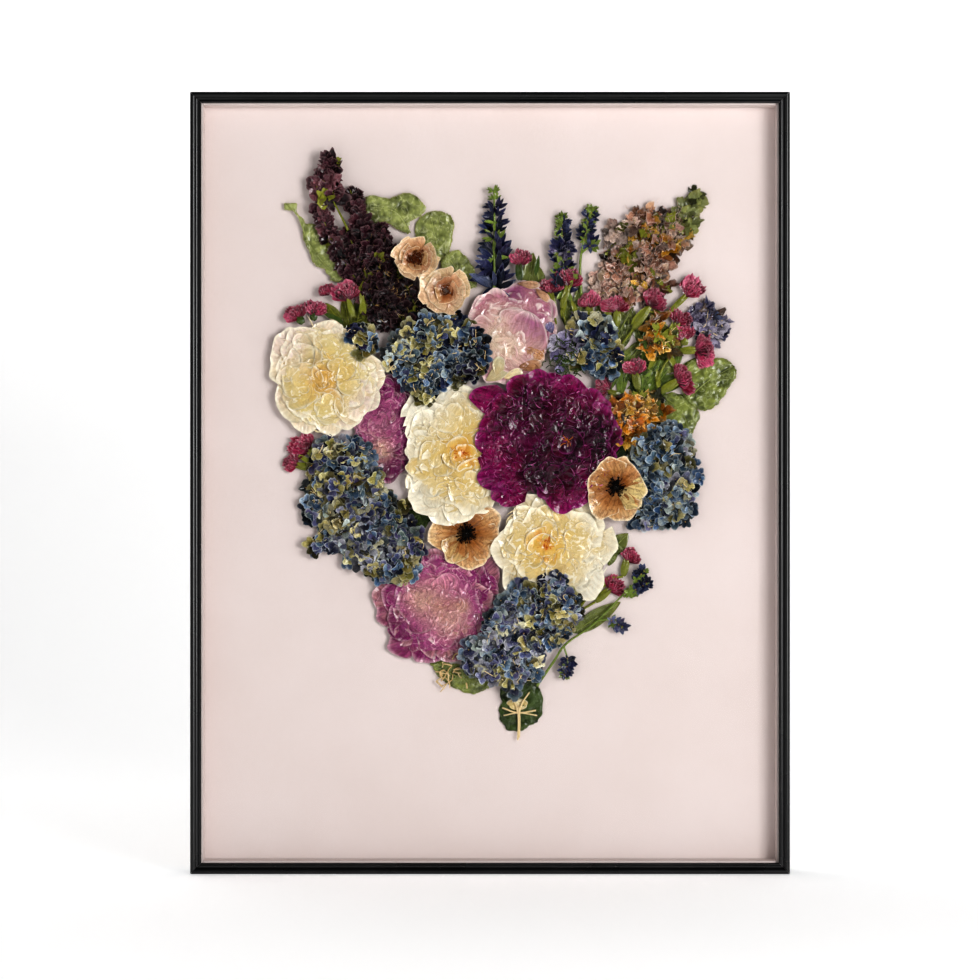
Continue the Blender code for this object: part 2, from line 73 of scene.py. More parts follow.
Colour = tuple[float, float, float, float]
Spot = tuple[float, float, float]
Place = tuple[float, float] | np.ndarray
Places = tuple[tuple[float, float], ...]
Range = tuple[float, float]
Paint = Callable[[np.ndarray, np.ndarray], tuple[np.ndarray, np.ndarray, np.ndarray]]
Socket = bpy.types.NodeSocket
Sockets = bpy.types.bpy_prop_collection


# ------------------------------------------------------------------ small tools


def linear(code: str) -> Colour:
    """Turns an sRGB hex colour, "#RRGGBB", into linear red, green, blue and an alpha of one."""
    parts = [int(code[i : i + 2], 16) / 255 for i in (1, 3, 5)]
    light = [c / 12.92 if c <= 0.04045 else ((c + 0.055) / 1.055) ** 2.4 for c in parts]
    return (light[0], light[1], light[2], 1.0)


def plug(node: bpy.types.Node, inputs: dict) -> None:
    """Fills sockets of a node.

    Args:
        node: the node.
        inputs: socket name or number to a value, a hex colour, another node's output, or
            another node, which stands for its first output in use.
    """
    for key, value in inputs.items():
        if isinstance(value, bpy.types.Node):
            value = next(socket for socket in value.outputs if socket.enabled)
        if isinstance(value, bpy.types.NodeSocket):
            node.id_data.links.new(value, node.inputs[key])
        else:
            node.inputs[key].default_value = linear(value) if isinstance(value, str) else value


def add_node(tree: bpy.types.NodeTree, kind: str, inputs: dict | None = None,
             stops: tuple[tuple[float, str], ...] = (), **settings) -> bpy.types.Node:
    """Adds a shader node with its settings and links.

    Args:
        tree: the node tree.
        kind: the node's type name, less its "ShaderNode".
        inputs: what fills its sockets, as plug takes it.
        stops: (place, hex colour) pairs for a colour ramp.
        settings: attributes of the node.

    Returns:
        The node.
    """
    node = tree.nodes.new("ShaderNode" + kind)
    for key, value in settings.items():
        setattr(node, key, value)
    plug(node, inputs or {})
    if stops:
        ramp = node.color_ramp.elements
        while len(ramp) < len(stops):
            ramp.new(0.5)
        for element, (place, code) in zip(ramp, stops):
            element.position = place
            element.color = linear(code)
    return node


def per_metre(grain_mm: float) -> float:
    """The scale of a noise whose grain is so many millimetres."""
    return 1 / (grain_mm * MM)


def towards(turn: float) -> np.ndarray:
    """The unit step in the direction turn, in radians from +x."""
    return np.array((math.cos(turn), math.sin(turn)))


def draw_spot(rng: np.random.Generator, tone: Range, hue: Range = (0, 0),
              shade: Range = (0, 0), base: Spot = (0, 0, 0)) -> Spot:
    """Draws a change of tone, hue and shade from their ranges; an empty range draws none."""
    spans = zip(base, (tone, hue, shade))
    return tuple(b + (rng.uniform(*span) if span[0] < span[1] else span[0])
                 for b, span in spans)


def smooth_path(points: list | np.ndarray, steps: int = 5) -> np.ndarray:
    """A Catmull-Rom curve through points.

    Args:
        points: the points, of any number of coordinates.
        steps: stretches between two points.

    Returns:
        The points of the curve.
    """
    given = np.asarray(points, float)
    ends = np.vstack((2 * given[0] - given[1], given, 2 * given[-1] - given[-2]))
    curve = []
    for i in range(1, len(ends) - 2):
        before, start, end, after = ends[i - 1 : i + 3]
        for t in np.arange(steps) / steps:
            curve.append(0.5 * (2 * start + (end - before) * t
                                + (2 * before - 5 * start + 4 * end - after) * t**2
                                + (3 * start - before - 3 * end + after) * t**3))
    curve.append(given[-1])
    return np.array(curve)


def walked(path: np.ndarray) -> np.ndarray:
    """How far along a flat path each of its points lies."""
    return np.concatenate(((0,), np.cumsum(np.hypot(*np.diff(path, axis=0).T))))


class Crumple:
    """Smooth random relief: a lattice of random heights, read between its points."""

    SIZE = 101

    def __init__(self, seed: int) -> None:
        """Draws the lattice."""
        self.lattice = np.random.default_rng(seed).uniform(-1, 1, (self.SIZE, self.SIZE))

    def at(self, x: np.ndarray, y: np.ndarray) -> np.ndarray:
        """Relief from -1 to 1 at x, y, where one unit is one step of the lattice."""
        i, j = np.floor(x).astype(int), np.floor(y).astype(int)
        fx, fy = x - i, y - j
        fx, fy = fx * fx * (3 - 2 * fx), fy * fy * (3 - 2 * fy)
        i0, j0, i1, j1 = i % self.SIZE, j % self.SIZE, (i + 1) % self.SIZE, (j + 1) % self.SIZE
        low = self.lattice[i0, j0] * (1 - fx) + self.lattice[i1, j0] * fx
        high = self.lattice[i0, j1] * (1 - fx) + self.lattice[i1, j1] * fx
        return low * (1 - fy) + high * fy

    def folds(self, x: np.ndarray, y: np.ndarray) -> np.ndarray:
        """Sharp-crested folds from -1 to 1, as in dried petal."""
        large = 1 - 2 * np.abs(self.at(x, y))
        small = 1 - 2 * np.abs(self.at(2.3 * x + 17.1, 2.3 * y + 5.3))
        return 0.65 * large + 0.35 * small


CRUMPLE = Crumple(7)


# -------------------------------------------------------------------- finishes


@dataclass(frozen=True)
class Finish:
    """A finish of the real thing, made once as a material and shared by its pieces."""

    name: str

    def dress(self) -> bpy.types.Material:
        """Builds the material, or finds it if it is built already."""
        found = bpy.data.materials.get(self.name)
        if found:
            return found
        material = bpy.data.materials.new(self.name)
        material.use_nodes = True
        tree = material.node_tree
        plug(tree.nodes["Principled BSDF"], self.surface(partial(add_node, tree)))
        return material

    def surface(self, add: Callable) -> dict:
        """Builds the nodes with add, and gives what fills the Principled shader's sockets."""
        raise NotImplementedError


@dataclass(frozen=True)
class DriedTissue(Finish):
    """What petals and leaves share: dried cellulose, waxy enough to shine on its crests."""

    IOR = 1.45
    SPECULAR = 0.12
    COAT_ROUGHNESS = 0.07
    SPECK_MM = 0.9

    def surface(self, add: Callable) -> dict:
        """The sheen that all dried tissue has, over the tissue's own film."""
        lie, spot = (
            add("SeparateXYZ", {0: add("Attribute", attribute_name=label).outputs["Vector"]})
            for label in ("lie", "spot"))
        place = add("TexCoord").outputs["Object"]
        return {"IOR": self.IOR, "Specular IOR Level": self.SPECULAR,
                "Coat Weight": self.coat, "Coat Roughness": self.COAT_ROUGHNESS,
                **self.film(add, place, lie.outputs, spot.outputs)}

    def film(self, add: Callable, place: Socket, lie: Sockets, spot: Sockets) -> dict:
        """Builds the nodes of colour and relief.

        Args:
            add: adds a node to the material.
            place: where each point lies, in metres.
            lie: along, across and towards the edge, for each point.
            spot: change of tone and hue, and the shade, for each point.

        Returns:
            What fills the shader's sockets.
        """
        raise NotImplementedError


@dataclass(frozen=True)
class DriedPetal(DriedTissue):
    """Dried petal: a thin cellulose film, pressed flat and crinkled as it lost its water.

    The eye reads it by its fine radial veins, the drift of its dye from root to rim, the
    pale dry edge and a soft sheen on the crests of the wrinkles. Its colour also holds
    painted shade at each petal's root and along the creases, and painted highlight on the rim.
    """

    body: tuple[tuple[float, str], ...]
    other: str
    # root with root_share: the petal's own darker base, with painted shade at its foot laid over
    # it
    root: str
    # rim with rim_share: the petal's own pale dry edge, with painted highlight laid over it
    rim: str
    rim_from: float = 0.70
    rim_share: float = 0.6
    root_share: float = 0.5
    streak: float = 0.35
    streaks: float = 7.0
    mottle: float = 0.3
    mottle_mm: float = 7.0
    roughness: float = 0.42
    coat: float = 0.6
    wrinkle: float = 0.6
    # crease: depth of the creases' grooves and share of the painted shade drawn along them
    crease: float = 0.5
    crease_mm: float = 4.0

    def film(self, add: Callable, place: Socket, lie: Sockets, spot: Sockets) -> dict:
        """Dye that drifts, painted shade at the root and along the creases, radial veins and a
        pale rim that is partly painted highlight.
        """
        blotch = add("TexNoise", {"Vector": place, "Scale": per_metre(self.mottle_mm),
                                  "Detail": 3.0})
        drift = add("Math", {0: blotch, 1: self.mottle, 2: -self.mottle / 2},
                    operation="MULTIPLY_ADD")
        tone = add("Math", {0: drift, 1: spot["X"]}, operation="ADD")
        hue = add("Math", {0: drift, 1: spot["Y"]}, operation="ADD", use_clamp=True)
        # Root colour towards each petal's root: its own darker base, with painted shade laid over
        # it
        root_and_shade = add("MapRange", {0: lie["X"], 1: 0.0, 2: 0.75, 3: self.root_share, 4: 0.0},
                     interpolation_type="SMOOTHSTEP")
        # Crease lines: the root colour drawn along the bump's grooves is painted shade in the
        # creases
        pleat = add("TexNoise", {"Vector": place, "Scale": per_metre(self.crease_mm),
                                 "Detail": 1.5, "Distortion": 1.2})
        pleat = add("Math", {0: pleat, 1: 0.5}, operation="SUBTRACT")
        line = add("MapRange", {0: add("Math", {0: pleat}, operation="ABSOLUTE"),
                                1: 0.0, 2: 0.055, 3: self.crease, 4: 0.0},
                   interpolation_type="SMOOTHSTEP")
        # Pale rim: the petal's own dry edge with painted highlight over it; fold strips and beds
        # put it on their crests, where it is painted highlight only
        edge = add("MapRange", {0: lie["Z"], 1: self.rim_from, 2: 1.0, 3: 0.0,
                                4: self.rim_share}, interpolation_type="SMOOTHSTEP")
        colour = add("ValToRGB", {0: tone}, stops=self.body)
        for share, code in ((hue, self.other), (root_and_shade, self.root), (line, self.root),
                            (edge, self.rim)):
            colour = add("Mix", {0: share, 6: colour, 7: code}, data_type="RGBA")
        across = add("Math", {0: lie["Y"], 1: self.streaks}, operation="MULTIPLY")
        run = add("CombineXYZ", {0: across, 1: lie["X"], 2: spot["Z"]})
        veins = add("TexNoise", {"Vector": run, "Scale": 2.2, "Detail": 3.0})
        veined = add("MapRange", {0: veins, 1: 0.3, 2: 0.7, 3: 1 - self.streak,
                                  4: 1 + 0.4 * self.streak})
        light = add("Math", {0: veined, 1: spot["Z"]}, operation="MULTIPLY")
        speck = add("TexNoise", {"Vector": place, "Scale": per_metre(self.SPECK_MM),
                                 "Detail": 2.0})
        grain = add("Math", {0: veins, 1: speck}, operation="ADD")
        height = add("Math", {0: line, 1: -1.2, 2: grain}, operation="MULTIPLY_ADD")
        return {
            "Base Color": add("VectorMath", {0: colour, "Scale": light}, operation="SCALE"),
            "Roughness": add("MapRange", {0: speck, 3: self.roughness - 0.12,
                                          4: self.roughness + 0.12}),
            "Normal": add("Bump", {"Height": height, "Strength": self.wrinkle,
                                   "Distance": 0.7 * MM})}


@dataclass(frozen=True)
class DriedLeaf(DriedTissue):
    """Dried leaf: a crinkled blade with a net of raised veins.

    The eye reads it by the pale net of veins, the blotched green between them, the wet
    sheen on the crests and the slightly browned edge.
    """

    dark: str
    light: str
    vein: str
    edge: str
    pitch_mm: float = 7.0
    vein_share: float = 0.3
    mottle_mm: float = 5.0
    roughness: float = 0.45
    coat: float = 0.5

    def film(self, add: Callable, place: Socket, lie: Sockets, spot: Sockets) -> dict:
        """Blotched green under a pale net of veins, browned at the edge."""
        blotch = add("TexNoise", {"Vector": place, "Scale": per_metre(self.mottle_mm),
                                  "Detail": 4.0})
        tone = add("MapRange", {0: blotch, 1: 0.15, 2: 0.8})
        tone = add("Math", {0: tone, 1: spot["X"]}, operation="ADD", use_clamp=True)
        net = add("TexNoise", {"Vector": place, "Scale": per_metre(self.pitch_mm),
                               "Detail": 1.0, "Distortion": 0.8})
        net = add("Math", {0: net, 1: 0.5}, operation="SUBTRACT")
        vein = add("MapRange", {0: add("Math", {0: net}, operation="ABSOLUTE"),
                                1: 0.005, 2: 0.03, 3: self.vein_share, 4: 0.0},
                   interpolation_type="SMOOTHSTEP")
        edge = add("MapRange", {0: lie["Z"], 1: 0.6, 2: 1.0, 3: 0.0, 4: 0.55})
        colour = self.dark
        for share, code in ((tone, self.light), (vein, self.vein), (edge, self.edge)):
            colour = add("Mix", {0: share, 6: colour, 7: code}, data_type="RGBA")
        speck = add("TexNoise", {"Vector": place, "Scale": per_metre(self.SPECK_MM),
                                 "Detail": 2.0})
        height = add("Math", {0: vein, 1: speck}, operation="ADD")
        return {
            "Base Color": add("VectorMath", {0: colour, "Scale": spot["Z"]},
                              operation="SCALE"),
            "Roughness": self.roughness,
            "Normal": add("Bump", {"Height": height, "Strength": 0.6,
                                   "Distance": 0.4 * MM})}


@dataclass(frozen=True)
class Lacquer(Finish):
    """Black lacquer on timber, sprayed in thin coats: satin gloss with faint orange peel."""

    name: str = "black_lacquer"
    peel_mm: float = 1.4
    haze_mm: float = 40.0

    def surface(self, add: Callable) -> dict:
        """Near black with a hazed gloss and the ripple of the spray."""
        place = add("TexCoord").outputs["Object"]
        peel = add("TexNoise", {"Vector": place, "Scale": per_metre(self.peel_mm),
                                "Detail": 1.0})
        haze = add("TexNoise", {"Vector": place, "Scale": per_metre(self.haze_mm),
                                "Detail": 3.0})
        return {
            "Base Color": add("ValToRGB", {0: haze}, ((0.3, "#0D0D0E"), (0.7, "#131314"))),
            "Roughness": add("MapRange", {0: haze, 1: 0.3, 2: 0.7, 3: 0.24, 4: 0.32}),
            "Normal": add("Bump", {"Height": peel, "Strength": 0.05, "Distance": 0.05 * MM}),
            "IOR": 1.5}


@dataclass(frozen=True)
class MountCard(Finish):
    """Pink mount card, a cotton-rag sheet with a felt finish: matt, with a fine tooth."""

    name: str = "pink_mount_card"
    low: str = "#D8CBC7"
    high: str = "#DDD1CE"
    tooth_mm: float = 1.1
    cloud_mm: float = 90.0

    def surface(self, add: Callable) -> dict:
        """Two close pinks, mottled by the rag, over the felt's tooth."""
        place = add("TexCoord").outputs["Object"]
        tooth = add("TexNoise", {"Vector": place, "Scale": per_metre(self.tooth_mm),
                                 "Detail": 4.0})
        cloud = add("TexNoise", {"Vector": place, "Scale": per_metre(self.cloud_mm),
                                 "Detail": 2.0})
        mixed = add("Math", {0: tooth, 1: cloud}, operation="ADD")
        share = add("MapRange", {0: mixed, 1: 0.75, 2: 1.25})
        return {
            "Base Color": add("Mix", {0: share, 6: self.low, 7: self.high},
                              data_type="RGBA"),
            "Normal": add("Bump", {"Height": tooth, "Strength": 0.25,
                                   "Distance": 0.06 * MM}),
            "Roughness": 0.9, "Specular IOR Level": 0.25}


@dataclass(frozen=True)
class PaneGlass(Finish):
    """Clear float glass with an anti-reflection coat: all but invisible from the front."""

    name: str = "clear_pane"
    draw_mm: float = 120.0

    def surface(self, add: Callable) -> dict:
        """Clear and smooth, with the faint draw of the float bath."""
        place = add("TexCoord").outputs["Object"]
        draw = add("TexNoise", {"Vector": place, "Scale": per_metre(self.draw_mm),
                                "Detail": 1.0})
        return {
            "Normal": add("Bump", {"Height": draw, "Strength": 0.05, "Distance": 0.05 * MM}),
            "Base Color": "#FBFDFC", "Roughness": 0.02, "IOR": 1.45,
            "Transmission Weight": 1.0, "Alpha": 0.1}


@dataclass(frozen=True)
class Hardboard(Finish):
    """Hardboard, wood fibre pressed under heat: brown, with matted fibres in its face."""

    name: str = "brown_hardboard"
    fibre_mm: float = 1.6
    cloud_mm: float = 25.0

    def surface(self, add: Callable) -> dict:
        """Browns that follow the fibres, matt, with the mat's relief."""
        place = add("TexCoord").outputs["Object"]
        spread = add("Mapping", {0: place, 3: (1.0, 1.0, 0.35)})
        fibre = add("TexNoise", {"Vector": spread, "Scale": per_metre(self.fibre_mm),
                                 "Detail": 6.0})
        cloud = add("TexNoise", {"Vector": place, "Scale": per_metre(self.cloud_mm),
                                 "Detail": 3.0})
        mixed = add("Math", {0: fibre, 1: cloud}, operation="ADD")
        share = add("MapRange", {0: mixed, 1: 0.7, 2: 1.3})
        return {
            "Base Color": add("ValToRGB", {0: share},
                              ((0.1, "#7C5638"), (0.5, "#8A6241"), (0.9, "#986E4A"))),
            "Normal": add("Bump", {"Height": fibre, "Strength": 0.4, "Distance": 0.1 * MM}),
            "Roughness": 0.75}


@dataclass(frozen=True)
class ZincPlate(Finish):
    """Zinc-plated spring steel: cool grey metal with rolling lines and dull blooms."""

    name: str = "zinc_plated_steel"
    lines_mm: float = 0.4
    bloom_mm: float = 4.0

    def surface(self, add: Callable) -> dict:
        """Greys that cloud with the zinc's bloom, over the rolling lines."""
        place = add("TexCoord").outputs["Object"]
        rolled = add("Mapping", {0: place, 3: (0.08, 1.0, 1.0)})
        lines = add("TexNoise", {"Vector": rolled, "Scale": per_metre(self.lines_mm),
                                 "Detail": 3.0})
        bloom = add("TexNoise", {"Vector": place, "Scale": per_metre(self.bloom_mm),
                                 "Detail": 3.0})
        return {
            "Base Color": add("ValToRGB", {0: bloom}, ((0.3, "#A9ADB2"), (0.7, "#C6C9CC"))),
            "Roughness": add("MapRange", {0: bloom, 3: 0.28, 4: 0.5}),
            "Normal": add("Bump", {"Height": lines, "Strength": 0.15,
                                   "Distance": 0.03 * MM}),
            "Metallic": 1.0}


@dataclass(frozen=True)
class StageSweep(Finish):
    """The studio's sweep: matt white, lit from behind a little so that it stays white."""

    name: str = "white_sweep"
    glow: float = 0.325

    def surface(self, add: Callable) -> dict:
        """Plain white, with its glow."""
        return {"Base Color": "#F4F4F4", "Roughness": 0.85, "Specular IOR Level": 0.2,
                "Emission Color": "#FFFFFF", "Emission Strength": self.glow}


CREAM = DriedPetal(
    "cream_rose_petal", ((0.0, "#D2A85A"), (0.25, "#D9BC76"), (0.6, "#DECA8E"), (1.0, "#E1D4AE")),
    other="#E6D2C4", root="#C8A466", rim="#F8F0DA", rim_from=0.8, rim_share=0.8,
    root_share=0.4, streak=0.18, wrinkle=0.45, crease=0.22, crease_mm=6)
CREAM_PALE = replace(
    CREAM, name="pale_rose_petal",
    body=((0.0, "#D68A2A"), (0.16, "#DCB25A"), (0.4, "#D9BE7C"), (0.8, "#DDC896"),
          (1.0, "#E4D8BC")),
    other="#E4DECC")
BURGUNDY = DriedPetal(
    "burgundy_dahlia_petal",
    ((0.0, "#120007"), (0.35, "#340119"), (0.7, "#620331"), (1.0, "#980A58")),
    other="#8E1468", root="#0A0106", rim="#A83C88", rim_from=0.88, rim_share=0.5,
    root_share=0.75, streak=0.6, streaks=8, mottle=0.7, mottle_mm=6, roughness=0.3,
    wrinkle=0.5, crease=0.8, crease_mm=2.2)
# Pale strokes standing in for the lamps' glints on the dahlia's fine wet wrinkles: painted
# highlight
PAINTED_GLINT = replace(
    BURGUNDY, name="burgundy_painted_glint",
    body=((0.0, "#3A062C"), (0.45, "#76245E"), (0.75, "#B04488"), (1.0, "#E08CBE")),
    root="#5A1044", root_share=0.4, crease=0.0, streak=0.2)
MAUVE = DriedPetal(
    "mauve_rose_petal",
    ((0.0, "#C68A84"), (0.3, "#D08AA0"), (0.6, "#BC5E92"), (0.85, "#A23E7E"), (1.0, "#8C2C68")),
    other="#E6BCA4", root="#8E3A66", rim="#EFC8CE", rim_from=0.84, rim_share=0.5,
    root_share=0.35, streak=0.6, streaks=10, mottle=0.5, wrinkle=0.55, crease=0.35,
    crease_mm=6)
PINK = DriedPetal(
    "pink_peony_petal",
    ((0.0, "#E8CEB6"), (0.4, "#E3BFB4"), (0.75, "#D5A6A4"), (1.0, "#C08890")),
    other="#B46C94", root="#A06A5A", rim="#FBEDE4", rim_from=0.82, streaks=8,
    mottle=0.6, mottle_mm=10, roughness=0.32, coat=0.8, wrinkle=0.45, crease=0.35, crease_mm=7)
RUST = replace(
    PINK, name="browned_peony_petal",
    body=((0.0, "#6E3418"), (0.4, "#B07A48"), (0.75, "#CFA07A"), (1.0, "#E6C8A8")),
    other="#C08898", root="#5E2A1A")
TAN = DriedPetal(
    "tan_petal",
    ((0.0, "#6E3610"), (0.35, "#A66A32"), (0.75, "#C48E5A"), (1.0, "#DEB486")),
    other="#DCCB90", root="#6A360F", rim="#F8E6C6", rim_from=0.9, rim_share=0.85,
    streak=0.4, mottle=0.55, wrinkle=0.55, crease=0.45, crease_mm=6)
PAPERY = replace(
    TAN, name="papery_rose_petal",
    body=((0.0, "#74380F"), (0.3, "#B0744A"), (0.65, "#D29E76"), (1.0, "#ECC8A4")),
    root="#8A4A1E", root_share=0.35, streak=0.2, crease=0.35, crease_mm=8)
# Hydrangea sepals: the near-black root is painted shade between the florets; the pale rim is the
# sepal's own paler edge with painted highlight over it
SLATE = DriedPetal(
    "slate_hydrangea_sepal",
    ((0.0, "#0E1A2C"), (0.3, "#385478"), (0.6, "#6684AC"), (0.85, "#9CB2CC"), (1.0, "#D0DAD8")),
    other="#9AA878", root="#060A12", rim="#F0F4EE", rim_from=0.76, rim_share=0.5,
    root_share=0.6, streak=0.4, streaks=5, mottle=0.4, mottle_mm=3, crease=0.3,
    crease_mm=3)
VIOLET = replace(
    SLATE, name="violet_hydrangea_sepal",
    body=((0.0, "#181830"), (0.3, "#3C446E"), (0.6, "#686E98"), (0.85, "#9296B6"),
          (1.0, "#CCCCD4")),
    other="#7A5A88", root="#15142A")
YELLOWED = replace(
    SLATE, name="yellowed_hydrangea_sepal",
    body=((0.0, "#5A562C"), (0.3, "#A29C5A"), (0.6, "#CCC282"), (0.85, "#E4D8A0"),
          (1.0, "#F0EACA")),
    other="#E0BC54", root="#3A3A18", rim="#F8F4D2", rim_share=0.6)
PLUM = DriedPetal(
    "plum_stock_petal",
    ((0.0, "#050202"), (0.35, "#1D0B11"), (0.7, "#49222E"), (1.0, "#8C5A60")),
    other="#5E3640", root="#030102", rim="#A07C7E", rim_from=0.8, rim_share=0.45,
    root_share=0.7, streak=0.4, mottle=0.5, mottle_mm=4, roughness=0.36, coat=0.5)
NAVY = DriedPetal(
    "navy_delphinium_petal",
    ((0.0, "#06080F"), (0.4, "#171D36"), (0.75, "#30385E"), (1.0, "#6A7290")),
    other="#54427A", root="#06080F", rim="#8690B0", rim_from=0.8, rim_share=0.4,
    root_share=0.6, mottle=0.4, coat=0.5)
LILAC = replace(
    NAVY, name="lilac_floret_petal",
    body=((0.0, "#1E1830"), (0.4, "#514870"), (0.75, "#887EA4"), (1.0, "#D0C8D8")),
    other="#E2DAE2", root="#161022", rim="#DCD6E6")
BEIGE = DriedPetal(
    "rosy_plume_petal",
    ((0.0, "#4A2A18"), (0.35, "#A47058"), (0.7, "#D6A494"), (1.0, "#F4DACC")),
    other="#C0803A", root="#4A3018", rim="#F4DED0", rim_from=0.78, mottle=0.6)
CRIMSON = DriedPetal(
    "crimson_carnation_petal",
    ((0.0, "#34050F"), (0.4, "#8A1436"), (0.75, "#B2325A"), (1.0, "#D66C8C")),
    other="#D88898", root="#26030C", rim="#EE9CAE", rim_from=0.84, rim_share=0.5,
    root_share=0.7, streak=0.45, streaks=9, mottle=0.5, coat=0.7)
ORANGE = DriedPetal(
    "orange_wallflower_petal",
    ((0.0, "#5A2C04"), (0.3, "#D4780E"), (0.65, "#F4A424"), (1.0, "#FACC62")),
    other="#F47A20", root="#3E2A06", rim="#FEE09A", rim_share=0.5, root_share=0.6,
    streak=0.45, mottle=0.6, coat=0.7)
YOLK = DriedPetal(
    "anther_gold",
    ((0.0, "#7A4810"), (0.5, "#C69A4C"), (1.0, "#E6D698")),
    other="#E9E2A8", root="#7A4A14", rim="#F0E0B0", streak=0.3, roughness=0.6)
AMBER = replace(
    YOLK, name="amber_thread", body=((0.0, "#B85A10"), (0.5, "#E08A20"), (1.0, "#F4B84C")),
    other="#F07A30", root="#A84E0C", rim="#F8C860")
SOOT = DriedPetal(
    "dark_poppy_eye",
    ((0.0, "#0C0805"), (0.5, "#20160D"), (1.0, "#46341F")),
    other="#6A4E2A", root="#080503", rim="#4E3B25", streak=0.4, roughness=0.6, coat=0.1)
SAGE = DriedLeaf("sage_leaf", "#343C14", "#969C60", "#DCDCB4", "#A8A25C", coat=0.6)
MOSS = DriedLeaf("moss_leaf", "#1E280C", "#828A48", "#C8CE9C", "#8E8E4A", coat=0.6)
BOTTLE = DriedLeaf("dark_leaf", "#0A1204", "#3E5020", "#7E8A54", "#4E5A2C")
STEM = DriedLeaf("green_stem", "#2C3C14", "#74863C", "#AAB66C", "#8C9550", pitch_mm=3.0)
OLIVE = DriedLeaf("olive_calyx", "#2C320C", "#7A7E2C", "#AEA860", "#8E8A3C", pitch_mm=3.0)
STRAW = DriedLeaf("straw", "#C09A64", "#E4CC9C", "#EFDDB4", "#C9A468", pitch_mm=2.0)


# ---------------------------------------------------------------------- outlines


